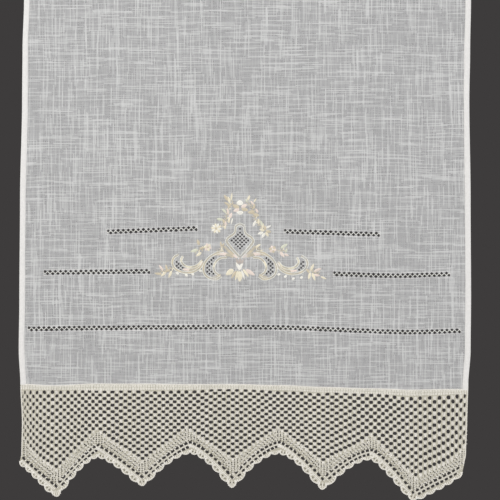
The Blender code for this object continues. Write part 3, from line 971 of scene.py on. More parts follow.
# Leaves and petals: place, length, width, turn in degrees and thread colour
LEAVES = (
    # The flower at the top: two white petals and four warm ones
    (0.0, 77.4, 7.0, 9.4, 0, "white"), (0.2, 63.6, 5.4, 9.2, 180, "white"),
    (-5.6, 72.2, 9.0, 5.6, 68, "beige"), (-4.9, 67.4, 8.0, 5.0, 112, "rose"),
    (5.8, 73.0, 8.6, 5.2, -62, "rose"), (6.6, 68.2, 9.2, 5.4, -104, "beige"),
    # The vine on its left
    (-18.6, 84.0, 9.0, 4.2, 38, "beige"), (-14.8, 81.2, 8.6, 3.6, 14, "cream"),
    (-11.4, 85.4, 9.6, 2.6, -8, "cream"), (-17.8, 76.0, 7.6, 3.2, 60, "beige"),
    (-14.0, 73.2, 7.0, 2.8, -30, "beige"), (-21.6, 66.6, 7.6, 3.2, 48, "sage"),
    (-16.2, 65.8, 8.0, 3.0, 8, "rose"), (-12.6, 60.0, 7.8, 4.4, -24, "rose"),
    (-14.6, 54.4, 8.4, 3.0, -6, "cream"), (-10.8, 52.6, 8.8, 2.0, -16, "white"),
    (-27.6, 55.0, 8.8, 3.8, 82, "sage"), (-22.0, 52.6, 7.4, 3.4, 34, "beige"),
    (-19.6, 49.4, 7.2, 3.4, 4, "rose"), (-20.0, 44.8, 6.2, 3.0, -12, "cream"),
    # The vine on its right
    (11.8, 84.0, 7.4, 3.4, -18, "cream"), (8.6, 80.4, 5.0, 2.6, 24, "sage"),
    (20.4, 80.6, 6.0, 2.0, -34, "cream"), (16.4, 77.0, 6.4, 2.8, 40, "rose"),
    (19.0, 72.4, 7.2, 3.2, -12, "beige"), (22.6, 66.8, 6.2, 3.2, 30, "rose"),
    (15.0, 64.6, 9.2, 5.0, 96, "beige"), (21.4, 61.0, 8.4, 4.2, 74, "beige"),
    (19.6, 49.6, 8.8, 3.2, -26, "white"), (25.2, 52.0, 7.4, 3.0, -4, "cream"),
    (29.0, 49.6, 7.8, 3.2, 20, "sage"), (30.8, 45.8, 6.8, 3.2, -14, "cream"),
    # The open daisy on the right
    (27.6, 36.2, 7.2, 3.6, 106, "white"), (31.4, 33.0, 7.2, 3.8, 152, "white"),
    (38.4, 44.8, 7.6, 3.2, -64, "white"), (29.6, 40.6, 6.6, 3.6, 74, "cream"),
    (34.0, 43.4, 6.0, 3.4, 6, "beige"), (38.6, 38.4, 6.8, 3.8, -98, "beige"),
    (36.6, 34.6, 6.6, 3.6, -146, "cream"),
    # The small flowers' leaves and the sprigs beside the ogee
    (-56.2, 24.0, 7.6, 3.8, 16, "beige"), (-61.4, 12.6, 9.6, 4.4, 104, "sage"),
    (-55.6, 7.6, 8.2, 3.8, 126, "cream"), (-51.6, 16.2, 6.2, 2.4, 100, "beige"),
    (-25.6, 21.4, 7.2, 2.6, 10, "beige"), (-22.6, 20.6, 5.0, 2.2, -34, "beige"),
    (-24.6, 13.8, 5.2, 2.8, 176, "cream"), (24.6, 19.2, 7.6, 3.2, -56, "cream"),
    (59.6, 18.8, 10.2, 4.2, -58, "sage"), (62.4, 12.8, 5.6, 3.0, -20, "sage"),
    (57.0, 7.4, 8.8, 4.2, -142, "rose"), (63.0, 6.8, 6.2, 3.0, -112, "rose"),
    # The shell's cup and petals
    (-3.6, -1.8, 7.4, 3.2, 18, "shade"), (0.0, -1.2, 7.6, 3.4, 0, "shade"),
    (3.4, -1.8, 7.4, 3.2, -18, "shade"), (-3.4, -7.0, 8.6, 3.6, 28, "white"),
    (2.0, -7.0, 8.6, 3.6, -28, "white"), (-0.6, -10.4, 6.2, 6.4, 180, "white"),
    (-14.0, -16.6, 11.6, 7.0, 124, "cream"), (-8.4, -19.8, 11.6, 3.6, 146, "beige"),
    (-4.6, -21.0, 12.6, 3.2, 164, "cream"), (-0.2, -22.4, 13.6, 7.6, 180, "cream"),
    (4.2, -20.0, 12.6, 3.2, -162, "white"), (8.0, -17.6, 13.0, 3.8, -144, "cream"),
    (13.6, -16.6, 13.6, 5.6, -122, "rose"),
    # The left spray
    (-110.6, -18.4, 9.6, 3.2, 84, "beige"), (-106.4, -10.4, 9.0, 3.2, 34, "rose"),
    (-99.0, -10.0, 8.2, 3.2, 12, "beige"), (-103.4, -19.4, 8.6, 3.4, 128, "cream"),
    (-94.0, -19.2, 9.8, 3.6, 156, "cream"), (-97.8, -14.6, 7.0, 2.8, 108, "beige"),
    # The right spray
    (97.4, -9.6, 9.6, 3.6, -24, "cream"), (104.6, -13.4, 9.8, 3.8, -68, "rose"),
    (103.4, -20.4, 8.8, 3.2, -98, "rose"), (112.6, -24.0, 7.6, 2.6, -112, "cream"),
    (93.4, -21.8, 9.8, 3.8, 168, "cream"), (99.2, -22.4, 10.6, 3.8, -160, "cream"),
    (91.2, -14.4, 7.6, 3.0, 40, "beige"),
)
# How much wider and longer a worked petal is than its charted one, and how deep
PETAL_SWELL, PETAL_DEPTH = (1.15, 1.05), 1.7
# Buds under the scrolls, their length and width, and their lean in degrees
BUD, BUD_TURN = (4.6, 3.4), 60.0
BUDS = (
    (-84.4, -18.0), (-72.3, -20.4), (-63.8, -18.8), (-53.4, -14.4), (52.6, -19.3), (61.6, -22.2),
    (72.0, -25.2), (83.0, -23.6),
)
# A daisy's petals by its radius: place of their middles, length, and size and depth of its eye
DAISY_REACH, DAISY_PETAL, DAISY_EYE, EYE_DEPTH = 0.58, 0.84, 0.5, 2.2
Daisy = namedtuple("Daisy", "x z radius petals colours")
DAISIES = (
    Daisy(-32.0, 42.6, 7.4, 10, ("cream", "white", "beige")),
    Daisy(-43.4, 17.2, 5.4, 6, ("rose", "cream", "beige")),
    Daisy(44.2, 14.4, 5.4, 6, ("rose", "beige", "white")),
)
STEMS = (
    ((-9.0, 78.0), (-15.6, 70.0), (-17.8, 60.0), (-19.4, 50.0), (-25.2, 45.0)),
    ((9.2, 78.6), (15.6, 72.0), (18.6, 62.0), (22.6, 53.0), (29.4, 44.6)),
    ((-60.0, 12.0), (-52.0, 14.6), (-47.0, 16.6)),
    ((63.0, 13.0), (54.0, 12.4), (48.4, 13.8)),
    ((-31.8, 10.6), (-25.6, 13.6), (-22.0, 18.0)),
    ((31.0, 9.0), (26.4, 13.0), (22.6, 18.0)),
    ((-108.0, -16.6), (-99.0, -14.2), (-91.6, -10.8)),
    ((106.0, -18.4), (98.0, -15.8), (91.4, -12.4)),
)


def inside(points, x, z):
    """True if a place lies inside a closed outline."""
    hit = False
    for (x0, z0), (x1, z1) in zip(points, [*points[1:], points[0]]):
        if (z0 > z) != (z1 > z) and x < x0 + (x1 - x0) * (z - z0) / (z1 - z0):
            hit = not hit
    return hit


def mirrored(points, drop=0.0):
    return [(-x, z - drop) for x, z in points]


def both_sides(points):
    """A shape of the left half and its mirrored twin; the right side curl lies a little lower."""
    drop = RIGHT_CURL_DROP if min(x for x, _ in points) < -60.0 else 0.0
    return points, mirrored(points, drop)


def openwork():
    """The motif's netted areas as closed outlines."""
    ogee = [*OGEE_NET, *mirrored(OGEE_NET[1:-1])[::-1]]
    return (ogee, *both_sides(SCROLL_NET), *both_sides(CURL_NET))


def lattice(offset=0.0):
    """Places of the staggered gaps inside the netted areas, or of the knots between them."""
    places = []
    for area in openwork():
        (left, low), (right, high) = np.min(area, axis=0), np.max(area, axis=0)
        for row in range(math.floor(low / LATTICE_ROW), math.ceil(high / LATTICE_ROW) + 1):
            stagger = (0.5 if row % 2 else 0.0) + offset
            for step in range(math.floor(left / LATTICE_WIDTH) - 1, math.ceil(right / LATTICE_WIDTH) + 2):
                x, z = (step + stagger) * LATTICE_WIDTH, row * LATTICE_ROW
                if inside(area, x, z):
                    places.append((x + MOTIF_ORIGIN[0], z + MOTIF_ORIGIN[1]))
    return places


def motif_gaps():
    return [ring(x, z, LATTICE_GAP, LATTICE_GAP, waist=0.8) for x, z in lattice()]


def on_motif(points):
    return np.asarray(points, float) + MOTIF_ORIGIN


def motif_lines():
    """The corded outlines: ogee, scrolls and side curls, and the stems."""
    lines = []
    for shape in (OGEE_INNER, OGEE_OUTER, SCROLL_OUTER, SCROLL_INNER, CURL_OUTER, CURL_INNER):
        for points in both_sides(shape):
            path, normals = smooth_path(on_motif(points), 1.6)
            if shape in (OGEE_INNER, OGEE_OUTER):
                lines.append(path)
            else:
                lines += [path + normals * CORD_PAIR, path - normals * CORD_PAIR]
    return lines, [smooth_path(on_motif(points), 1.8)[0] for points in STEMS]


def petals():
    """All satin-stitched leaves and petals, by thread colour."""
    by_colour = {key: [] for key in THREADS}

    def add(x, z, length, width, turn, colour, depth=PETAL_DEPTH):
        x, z = x + MOTIF_ORIGIN[0], z + MOTIF_ORIGIN[1]
        place = Place(x, z, width * PETAL_SWELL[0], length * PETAL_SWELL[1], depth, math.radians(turn))
        by_colour[colour].append(place)

    for leaf in LEAVES:
        add(*leaf)
    for daisy in DAISIES:
        for i in range(daisy.petals):
            turn = 360.0 * (i + 0.3) / daisy.petals
            reach = daisy.radius * DAISY_REACH
            x = daisy.x - reach * math.sin(math.radians(turn))
            z = daisy.z + reach * math.cos(math.radians(turn))
            width = 5.0 * daisy.radius / daisy.petals
            add(x, z, daisy.radius * DAISY_PETAL, width, turn, daisy.colours[i % 2])
        eye = daisy.radius * DAISY_EYE
        add(daisy.x, daisy.z, eye, eye, 0.0, daisy.colours[2], EYE_DEPTH)
    for x, z in BUDS:
        add(x, z, *BUD, -math.copysign(BUD_TURN, x), "white")
    return by_colour


def band_stitches():
    """The short stitches of the filled bands, by thread colour, each slanted across its band."""
    by_colour = {key: [] for key in THREADS}
    for band in BANDS:
        for points, slant in zip(both_sides(band.points), (-FILL_SLANT, FILL_SLANT)):
            path, normals = smooth_path(on_motif(points), 1.2)
            for i, ((x, z), normal) in enumerate(zip(path, normals)):
                swell = 0.45 + 0.55 * math.sin(math.pi * (i + 1.0) / (len(path) + 1.0)) ** 0.5
                colour = band.colours[(i // FILL_RUN) % len(band.colours)]
                turn = lean(normal, slant)
                by_colour[colour].append(Place(x, z, FILL_WIDTH, band.length * swell, FILL_DEPTH, turn))
    for points in STEMS:
        path, normals = smooth_path(on_motif(points), 2.2)
        for i, ((x, z), normal) in enumerate(zip(path, normals)):
            side = 1.0 if i % 2 else -1.0
            x, z = np.array((x, z)) + normal * side * 1.9
            stitch = Place(x, z, FILL_WIDTH, 3.8, FILL_DEPTH, lean(normal, side * 0.7))
            by_colour[("ivory", "ivory", "cream")[i % 3]].append(stitch)
    return by_colour


class CURTAIN_OT_motif(Operator):
    """Makes the embroidered motif: satin-stitched leaves and petals, corded outlines and knots"""

    bl_idname = "curtain.motif"
    bl_label = "Stitched Motif"

    def execute(self, context):
        satin = model_stitch(satin_rings(), 8)
        short = model_stitch(KNOT_RINGS, 6)
        leaves, fills = petals(), band_stitches()
        for key in THREADS:
            made = [
                scattered(name, stitch, places[key], cotton(key), 50.0)
                for name, stitch, places in (("satin_leaves", satin, leaves), ("satin_fill", short, fills))
                if places[key]
            ]
            worked(joined(made, "satin_" + key), "sheer_cotton")
        outlines, stems = ([flat(path) for path in paths] for paths in motif_lines())
        ivory = cotton("outline")
        cords = cord_piece("outline_cords", outlines, CORD_RADIUS, ivory)
        stalks = cord_piece("stem_cords", stems, CORD_RADIUS, cotton("beige"))
        knots = [Place(x, z, 1.0, 1.0, 0.9) for x, z in lattice(0.5)]
        beads = scattered("net_knots", model_stitch(KNOT_RINGS, 6), knots, ivory)
        worked(joined([cords, beads], "motif_cords"), "sheer_cotton")
        worked(stalks, "sheer_cotton")
        return {"FINISHED"}


# Crocheted edging


def column_x(column):
    """Place of the net's columns, which crowd together towards the two side edges."""
    column = np.asarray(column, float)
    x = np.interp(column, FIRST_TIP + HALF_POINT * np.arange(-1, 10), TURNS["column"])
    left = mix(TURNS["column"][0], TURNS["column"][1], np.clip(column / FIRST_TIP, 0, 1) ** LEFT_CROWDING)
    share = np.clip(1.0 - (column - LAST_TIP) / (LAST_COLUMN - LAST_TIP), 0, 1)
    right = mix(TURNS["column"][-1], TURNS["column"][-2], share**RIGHT_CROWDING)
    return np.where(column < FIRST_TIP, left, np.where(column > LAST_TIP, right, x))


def net_reach(column):
    """The last net row of a column, which falls away from the tip of its point."""
    from_tip = np.abs((column - FIRST_TIP + HALF_POINT) % (2 * HALF_POINT) - HALF_POINT)
    return TIP_ROWS - 1 - from_tip


def net_row(x):
    return between(TURNS["column"], TURNS["row"], x)


def row_z(x, row):
    """Height of the middle of a net row."""
    return between(TURNS["column"], TURNS["first"], x) - row * net_row(x)


def flank_ends(flank):
    """The valley and the tip of a flank."""
    return flank + flank % 2, flank + 1 - flank % 2


def flank_point(flank, share):
    """The line of a flank's nicks, from its valley at 0 to its tip at 1."""
    valley, tip = flank_ends(flank)
    z = mix(TURNS["edge"][valley], TURNS["edge"][tip], share ** TURNS["nick_bow"][flank])
    return mix(TURNS["x"][valley], TURNS["x"][tip], share), z


def eyelet_point(flank, share, out=0.0):
    """A place out from a flank's line of eyelets, from 0 at its valley to 1 at its tip, and its slope."""
    valley, tip = flank_ends(flank)
    bow, height = TURNS["eyelet_bow"][flank], TURNS["edge"] + TURNS["rise"]
    x = mix(TURNS["x"][valley], TURNS["x"][tip], share)
    z = mix(height[valley], height[tip], share**bow)
    fall = (height[tip] - height[valley]) / (TURNS["x"][tip] - TURNS["x"][valley])
    slope = math.atan(bow * max(share, 0.02) ** (bow - 1.0) * fall)
    return x + out * math.sin(slope), z - out * math.cos(slope), slope


def eyelet_height(x):
    """Height of the line of eyelets at a place across the curtain."""
    flank = int(np.clip(np.searchsorted(TURNS["x"], x) - 1, 0, FLANKS - 1))
    valley, tip = flank_ends(flank)
    share = (x - TURNS["x"][valley]) / (TURNS["x"][tip] - TURNS["x"][valley])
    return float(eyelet_point(flank, min(1.0, max(0.0, share)))[1])


def eyelet_count(flank):
    (x0, z0, _), (x1, z1, _) = eyelet_point(flank, 0.0), eyelet_point(flank, 1.0)
    return round(math.hypot(x1 - x0, z1 - z0) / EYELET_PITCH)


def across_scallop(start, end):
    """A scallop's middle, the line from its start to its end, that line's length, and the way out."""
    start, end = np.asarray(start, float), np.asarray(end, float)
    along = end - start
    length = np.linalg.norm(along)
    return (start + end) / 2.0, along, length, np.array([along[1], -along[0]]) / length


def bulge(start, end, depth):
    """Points of a soft bow below the straight line from start to end, without its ends."""
    _, along, _, out = across_scallop(start, end)
    shares = np.arange(1, SCALLOP_STEPS) / SCALLOP_STEPS
    swell = depth * np.sin(math.pi * shares) ** SCALLOP_FULLNESS
    return [tuple(np.array(start) + along * share + out * rise) for share, rise in zip(shares, swell)]


def scallops():
    """Start, end and depth of every scallop from left to right."""
    found = []
    for flank in range(FLANKS):
        run = abs(TURNS["x"][flank + 1] - TURNS["x"][flank])
        last = 1.0 - TIP_SCALLOP_HALF_WIDTH / run
        shares = np.linspace(0.0, last, SCALLOPS_PER_FLANK + 1)
        climbs = bool(flank % 2)
        nicks = [flank_point(flank, share) for share in (shares[::-1] if climbs else shares)]
        if climbs:
            drop = (found[-1][1][1] + nicks[0][1]) / 2.0 - TURNS["edge"][flank]
            found.append((found[-1][1], nicks[0], drop))
        found += [(start, end, SCALLOP_DEPTH) for start, end in zip(nicks, nicks[1:])]
    return found


def scalloped_edge(inset=0.0):
    """The edging's lower edge from left to right, moved up by an inset."""
    edge = []
    for start, end, depth in scallops():
        edge += [start, *bulge(start, end, depth)]
    return [(x, z + inset) for x, z in [*edge, end]]


def lace_outline():
    x = np.linspace(*seam_sides(), 70)
    seam = list(zip(x, seam_height(x)))
    edge = scalloped_edge()
    left, right = (
        [(float(side_x(z, side)), z) for z in np.arange(seam[end][1] - 8.0, edge[end][1] + 3.0, -8.0)]
        for side, end in (("left", 0), ("right", -1))
    )
    return left + edge + right[::-1] + seam[::-1]


def worked_in(x, z):
    """A place of the net as it hangs, with the rows and columns a little uneven."""
    loose = float(eased(-z, 746.0, 756.0) * (1.0 - 0.8 * eased(-z, 770.0, 840.0)))
    return (
        x + loose * 1.3 * math.sin(x / 21.0 + 0.9),
        z + loose * (1.1 * math.sin(x / 27.0 + 2.4) + 0.5 * math.sin(x / 9.0)),
    )


def net_cells(holes):
    """The net's cells that are gaps, or those that are clusters of posts: place, width and height."""
    cells = []
    for column in range(1, LAST_COLUMN):
        x = float(column_x(column))
        wide = float(column_x(column + 1) - column_x(column - 1)) / 2.0
        for row in range(int(net_reach(column)) + (1 if holes else 2)):
            if ((column + row) % 2 == 0) == holes:
                cells.append((*worked_in(x, float(row_z(x, row))), wide, float(net_row(x))))
    return cells


def near_side(x, z, values):
    """A value that changes with the distance to the nearer side edge, where the net is pulled long."""
    return float(np.interp(from_side(x, z), SIDE_PULL, values))


def net_gaps(rough):
    gaps = []
    for x, z, wide, tall in net_cells(True):
        half_width, half_height = near_side(x, z, GAP_WIDTHS) * wide, GAP_HEIGHT * tall
        x += rough.normal(0.0, 0.12)
        z += rough.normal(0.0, 0.15)
        gaps.append(ring(x, z, half_width, half_height, rough.uniform(-0.3, 0.3), rough=rough))
    return gaps


def eyelets():
    """Place and slope of the gaps in a line along each flank, and in a second one on those that rise."""
    found = []
    for flank in range(FLANKS):
        count = eyelet_count(flank)
        climbs = bool(flank % 2)
        # The flank that falls from a valley leaves the valley's own eyelet to the one that rises to it.
        for i in range(0 if climbs else 1, count if climbs else count + 1):
            found.append(eyelet_point(flank, i / count))
            if climbs:
                found.append(eyelet_point(flank, i / count, OUTER_EYELETS))
    return [place for place in found if from_side(*place[:2]) > EYELET_MARGIN]


def eyelet_rings(rough):
    gaps = []
    for x, z, slope in eyelets():
        wide, tall = (half * rough.uniform(0.85, 1.15) for half in EYELET_HALF)
        gaps.append(ring(x, z, wide, tall, slope + rough.normal(0.0, 0.15)))
    return gaps


def scallop_dots():
    """Two pin-sized openings in each scallop, but none where a second line of eyelets runs close by."""
    dots = []
    for start, end, depth in scallops():
        middle, along, _, out = across_scallop(start, end)
        if along[1] > CLIMB:
            continue
        for share in (-DOT_SHARE, DOT_SHARE):
            x, z = middle + along * share + out * (depth * DOT_LINE - 0.8)
            dots.append(ring(x, z, DOT_RADIUS, DOT_RADIUS, corners=6))
    return dots


def border_head(x):
    """Height of the net's lower end at a place."""
    column = float(np.interp(x, column_x(np.arange(LAST_COLUMN + 1)), np.arange(LAST_COLUMN + 1)))
    return float(row_z(x, net_reach(column) + 1.0))


def border_grid():
    """Places of the close rows between the net and the eyelets, by column and row."""
    left, right = float(side_x(-800.0, "left")) + 3.0, float(side_x(-800.0, "right")) - 3.0
    columns = round((right - left) / BORDER_COLUMN)
    grid = []
    for i in range(columns + 1):
        x = mix(left, right, i / columns)
        low, high = eyelet_height(x) + BORDER_RISE, border_head(x)
        rows = max(0, round((high - low) / BORDER_ROW - 0.3))
        # The stitches stand in columns at the valleys and tips and are staggered between them.
        shift = 0.5 * BORDER_COLUMN * float(eased(np.abs(TURNS["x"] - x).min(), 5.0, 10.0))
        grid += [(x + shift * (row % 2), low + BORDER_ROW * (row + 0.5)) for row in range(rows)]
    return grid


def pin_holes(rough):
    """Pin-sized openings of all sizes between the close stitches of the border."""
    gaps = []
    for x, z in border_grid():
        z -= BORDER_ROW / 2.0
        if z > border_head(x) - 1.4:
            continue
        size = rough.uniform(0.75, 1.25)
        place = x + rough.normal(0.0, 0.42), z + rough.normal(0.0, 0.32)
        gaps.append(ring(*place, 1.22 * size, 0.92 * size, rough.uniform(-0.4, 0.4), 6, rough=rough))
    return gaps


class CURTAIN_OT_crochet_ground(Operator):
    """Makes the close ground of the crocheted edging with every gap of the net and border"""

    bl_idname = "curtain.crochet_ground"
    bl_label = "Crochet Ground"

    def execute(self, context):
        rough = np.random.default_rng(23)
        gaps = net_gaps(rough) + eyelet_rings(rough) + pin_holes(rough) + scallop_dots()
        thickness = sizes()["ground_thickness"]
        # Its colour is the yarn's, painted darker as the shade between the stitches.
        ground = sheet_piece("crochet_ground", lace_outline(), gaps, [], thickness, cotton("ground"))
        worked(ground, "crochet_cotton", "crochet_lace")
        return {"FINISHED"}


def chain_rows():
    """The chains that run along the net between its rows, bowed round the gaps."""
    paths = []
    for row in range(TIP_ROWS + 1):
        run = []
        for half in range(2 * LAST_COLUMN + 1):
            column = half / 2.0
            x = float(column_x(column))
            if net_reach(column) + 1.5 < row:
                if len(run) > 2:
                    paths.append(run)
                run = []
                continue
            gap_below = math.cos(math.pi * (column + row))
            z = float(row_z(x, row - 0.5))
            x, z = worked_in(x, z + near_side(x, z, CHAIN_BOWS) * gap_below)
            run.append((x, 0.0, z))
        if len(run) > 2:
            paths.append(run)
    return paths


class CURTAIN_OT_crochet_net(Operator):
    """Makes the yarn of the net: clusters of three posts with chains between the rows"""

    bl_idname = "curtain.crochet_net"
    bl_label = "Crochet Net"

    def execute(self, context):
        yarn = sizes()["yarn_width"]
        rough = np.random.default_rng(31)
        places = []
        for x, z, wide, tall in net_cells(False):
            spread = min(1.0, wide / CLUSTER_WIDTH)
            for k in (-1.0, 0.0, 1.0):
                turn = -CLUSTER_LEAN * k + rough.normal(0.0, 0.08)
                width = yarn * spread * rough.uniform(0.92, 1.08)
                across = x + CLUSTER_SPREAD * spread * k + rough.normal(0.0, 0.12)
                depth = rough.normal(0.0, 0.08)
                places.append(Place(across, z, width, tall * POST_OVERLAP, NET_POST_DEPTH, turn, depth))
        posts = scattered("net_posts", model_stitch(POST_RINGS), places, cotton("yarn"))
        chains = cord_piece("net_chains", chain_rows(), CHAIN_RADIUS, cotton("yarn"))
        worked(joined([posts, chains], "crochet_net"), "crochet_cotton")
        return {"FINISHED"}


def heading_posts(rough):
    """Two close rows between the seam and the net."""
    places = []
    for x in across_cloth(HEADING_LEVEL, 2.0, 1.0, HEADING_PITCH):
        high = float(seam_height(x)) - 0.6
        low = float(row_z(x, -0.5)) + 0.2
        middle = mix(high, low, 0.5)
        for z, tall in ((mix(high, middle, 0.5), high - middle), (mix(middle, low, 0.5), middle - low)):
            turn = rough.normal(0.0, 0.12)
            across = x + rough.normal(0, 0.12)
            places.append(Place(across, z, HEADING_POST[0], tall * POST_OVERLAP, HEADING_POST[1], turn))
    return places


def border_posts(rough):
    """Leaning pairs of short posts in close rows, and the posts between the eyelets."""
    places = []
    for x, z in border_grid():
        for side in (-1.0, 1.0):
            across = x + BORDER_COLUMN * 0.5 + side * PAIR_SPREAD + rough.normal(0.0, 0.2)
            turn = side * -PAIR_LEAN + rough.normal(0.0, 0.16)
            height, depth = z + rough.normal(0.0, 0.25), rough.normal(0, 0.1)
            places.append(Place(across, height, PAIR_WIDTH, BORDER_ROW * 0.98, POST_DEPTH, turn, depth))
    for flank in range(FLANKS):
        count = eyelet_count(flank)
        climbs = bool(flank % 2)
        # Bars between the eyelets, then close rows out to the scallops: distance and length.
        bars = ((0.0, 4.0), (OUTER_EYELETS, 3.6)) if climbs else ((0.0, 4.0),)
        rows = ((OUTER_EYELETS / 2.0, 1.7),) if climbs else ((4.3, 4.6),)
        for out, length in bars:
            for i in range(count):
                x, z, slope = eyelet_point(flank, (i + 0.5) / count, out)
                places.append(Place(x, z, BAR_WIDTH, length, POST_DEPTH, slope + rough.normal(0.0, 0.12)))
        for out, length in rows:
            for i in range(4 * count + 1):
                x, z, slope = eyelet_point(flank, i / (4.0 * count), out)
                x += rough.normal(0.0, 0.15)
                places.append(Place(x, z, ROW_WIDTH, length, POST_DEPTH, slope + rough.normal(0.0, 0.1)))
    return [place for place in places if from_side(*place[:2]) > POST_MARGIN]


def scallop_posts(rough):
    """Fans of tapering posts that fill each scallop."""
    places = []
    for start, end, depth in scallops():
        middle, along, length, out = across_scallop(start, end)
        # Where a second line of eyelets runs close by, the fan starts below it.
        climbs = along[1] > CLIMB
        along, half = along / length, length / 2.0
        root = middle - out * (1.5 if climbs else 3.2)
        for k in range(-FAN_HALF, FAN_HALF + 1):
            angle = k * FAN_STEP
            reach_x, reach_out = half * math.sin(angle * 1.25), (depth - 0.9) * math.cos(angle)
            head = middle + along * reach_x + out * reach_out
            foot = root + along * reach_x * 0.7
            if abs(k) == 1 and not climbs:
                foot = middle + along * reach_x * 0.8 + out * (depth * DOT_LINE + 0.5)
            line = head - foot
            length = float(np.linalg.norm(line))
            turn = math.atan2(line[0], -line[1])
            place = (head + foot) / 2.0
            places.append(Place(*place, BAR_WIDTH, length, FAN_DEPTH, turn + rough.normal(0, 0.05)))
    return places


def twisted(path, radius, pitch):
    """Two plies wound round a path of points."""
    path = np.asarray(path, float)
    run = lengths_along(path)
    line, at, normals = evenly(path, run, max(8, int(run[-1] / pitch * PLY_STEPS)))
    plies = []
    for start in (0.0, math.pi):
        angle = 2.0 * math.pi * at / pitch + start
        ply = flat(line + normals * (np.cos(angle) * radius)[:, None])
        ply[:, 1] = np.sin(angle) * radius
        plies.append(ply)
    return plies


class CURTAIN_OT_crochet_border(Operator):
    """Makes the yarn of the heading, the close border, the scallops and the corded edges"""

    bl_idname = "curtain.crochet_border"
    bl_label = "Crochet Border"

    def execute(self, context):
        rough = np.random.default_rng(47)
        post = model_stitch(POST_RINGS, 5)
        close = scattered("border_posts", post, heading_posts(rough) + border_posts(rough), cotton("yarn"))
        worked(close, "crochet_cotton")
        fans = scattered("scallop_posts", post, scallop_posts(rough), cotton("yarn"))
        x = np.linspace(*seam_sides(1.0), 90)
        edges = [scalloped_edge(0.7), np.column_stack([x, seam_height(x) - 0.3])]
        for side, foot in (("left", -846.0), ("right", -860.0)):
            z = np.arange(-746.0, foot, -6.0)
            edges.append(np.column_stack([side_x(z, side) + INWARD[side] * 0.8, z]))
        plies = [ply for path in edges for ply in twisted(path, PLY_REACH, PLY_PITCH)]
        cords = cord_piece("edge_cords", plies, PLY_RADIUS, cotton("yarn"))
        worked(joined([fans, cords], "crochet_edges"), "crochet_cotton")
        return {"FINISHED"}


# Stage


def look_at(thing, target):
    """Turns a light or camera towards a point."""
    direction = np.array(target) - np.array(thing.location)
    yaw = math.atan2(-direction[0], direction[1])
    pitch = math.atan2(direction[2], math.hypot(direction[0], direction[1]))
    thing.rotation_euler = (math.pi / 2.0 + pitch, 0.0, yaw)


def soft_light(name, place, size, power, colour):
    """A round studio light that faces the curtain's middle."""
    light = bpy.data.lights.new(name, "AREA")
    light.shape, light.size, light.energy, light.color = "DISK", size, power, hex_colour(colour)
    lamp = bpy.data.objects.new(name, light)
    bpy.context.scene.collection.objects.link(lamp)
    lamp.location = place
    look_at(lamp, LIT_PLACE)


# Name, place in metres, width in metres, power in watts and colour of each light
LIGHTS = (
    ("key_light", (-1.3, -1.9, 0.5), 1.6, 36.0, "#FFFFFF"),
    ("fill_light", (1.6, -1.7, -0.3), 1.8, 20.0, "#FCFCFF"),
    ("back_light", (-0.9, 2.0, 0.2), 1.8, 24.0, "#FFFFFF"),
)
LIT_PLACE = (0.0, 0.0, -0.5)
# Light from all round, the plain grey that is seen, and the floor
ROUND_LIGHT, SEEN_GREY = 0.35, "#3E3C3C"
FLOOR_RADIUS, FLOOR_TONES = 1.45, ("#C9C8C5", "#CCCBC8")
# Lens and sensor in millimetres, and width and middle of the view in metres
CAMERA_LENS, CAMERA_SENSOR = 85.0, 36.0
VIEW_WIDTH = 0.674
VIEW_CENTRE = (0.0035, 0.0, -0.5624)


def painted_floor(name):
    """Matt pale paint, rolled on: even, with faint cloudy changes of tone about 60 mm long."""
    material = new_material(name)
    tints = {0: streaks(material, (60.0, 60.0, 60.0), 1.0, 0.3, 0.7)}
    tints.update({6 + i: solid(hex_colour(tone)) for i, tone in enumerate(FLOOR_TONES)})
    paint = add_node(material, "Mix", tints, 2, data_type="RGBA")
    return finished(material, {"Roughness": 0.9, "Base Color": paint})


class CURTAIN_OT_stage(Operator):
    """Makes the floor, the soft studio light, the plain surroundings and the camera"""

    bl_idname = "curtain.stage"
    bl_label = "Stage"

    def execute(self, context):
        scene = context.scene
        camera = bpy.data.objects.new("camera", bpy.data.cameras.new("camera"))
        scene.collection.objects.link(camera)
        camera.data.lens, camera.data.sensor_width = CAMERA_LENS, CAMERA_SENSOR
        distance = VIEW_WIDTH * CAMERA_LENS / CAMERA_SENSOR
        camera.location = (VIEW_CENTRE[0], -distance, VIEW_CENTRE[2])
        look_at(camera, VIEW_CENTRE)
        scene.camera = camera
        scene.view_settings.view_transform = "Standard"

        deselect()
        drop = sizes()["floor_drop"] * MM
        bpy.ops.mesh.primitive_circle_add(
            vertices=96, radius=FLOOR_RADIUS, fill_type="NGON", location=(0, 0, -drop)
        )
        floor = context.object
        floor.name = "floor"
        bpy.ops.object.transform_apply(location=True, rotation=True, scale=True)
        floor.data.materials.append(painted_floor("matt_pale_floor"))

        for lamp in LIGHTS:
            soft_light(*lamp)

        world = bpy.data.worlds.new("surroundings")
        world.use_nodes = True
        scene.world = world
        seen = world.node_tree.nodes["Background"]
        seen.inputs["Color"].default_value = solid(hex_colour(SEEN_GREY))
        light = add_node(world, "Background", {"Color": (1, 1, 1, 1), "Strength": ROUND_LIGHT})
        ray = add_node(world, "LightPath", output="Is Camera Ray")
        mixed = add_node(world, "MixShader", {0: ray, 1: light, 2: seen.outputs[0]})
        world.node_tree.links.new(mixed, world.node_tree.nodes["World Output"].inputs["Surface"])
        return {"FINISHED"}


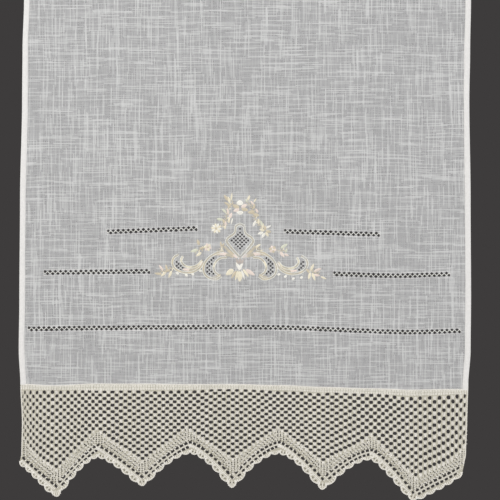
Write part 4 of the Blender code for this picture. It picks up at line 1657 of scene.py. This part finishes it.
def declare_sheets():
    """Looks up each sheet and the pieces worked on it by name, and does nothing more with them."""
    get = bpy.data.objects.get
    on_cloth = ["side_hems", "hem_stitches", "ladder_threads", "motif_cords", "stem_cords"]
    on_cloth += ["satin_" + key for key in THREADS]
    get("sheer_cloth")
    [get(name) for name in on_cloth]
    get("pocket_wall")
    get("pocket_ends")
    get("pocket_seam")
    ground = get("crochet_ground")
    get("crochet_net")
    get("border_posts")
    get("crochet_edges")


OPERATORS = (
    CURTAIN_OT_stage,
    CURTAIN_OT_cloth,
    CURTAIN_OT_hems,
    CURTAIN_OT_pocket,
    CURTAIN_OT_ladders,
    CURTAIN_OT_motif,
    CURTAIN_OT_crochet_ground,
    CURTAIN_OT_crochet_net,
    CURTAIN_OT_crochet_border,
)


class VIEW3D_PT_curtain(Panel):
    """Lists the curtain's pieces"""

    bl_label = "Sheer Curtain"
    bl_idname = "VIEW3D_PT_curtain"
    bl_space_type = "VIEW_3D"
    bl_region_type = "UI"
    bl_category = "Curtain"

    def draw(self, context):
        for group in (context.scene.curtain_sizes, context.scene.curtain_colours):
            for key in type(group).__annotations__:
                self.layout.prop(group, key)
        for operator in OPERATORS:
            self.layout.operator(operator.bl_idname)


CLASSES = (CurtainSizes, CurtainColours, *OPERATORS, VIEW3D_PT_curtain)


def register():
    for item in CLASSES:
        bpy.utils.register_class(item)
    bpy.types.Scene.curtain_sizes = PointerProperty(type=CurtainSizes)
    bpy.types.Scene.curtain_colours = PointerProperty(type=CurtainColours)


def unregister():
    del bpy.types.Scene.curtain_colours
    del bpy.types.Scene.curtain_sizes
    for item in reversed(CLASSES):
        bpy.utils.unregister_class(item)


def main():
    register()
    bpy.ops.curtain.stage()
    bpy.ops.curtain.cloth()
    bpy.ops.curtain.hems()
    bpy.ops.curtain.pocket()
    bpy.ops.curtain.ladders()
    bpy.ops.curtain.motif()
    bpy.ops.curtain.crochet_ground()
    bpy.ops.curtain.crochet_net()
    bpy.ops.curtain.crochet_border()
    declare_sheets()


if __name__ == "__main__":
    main()
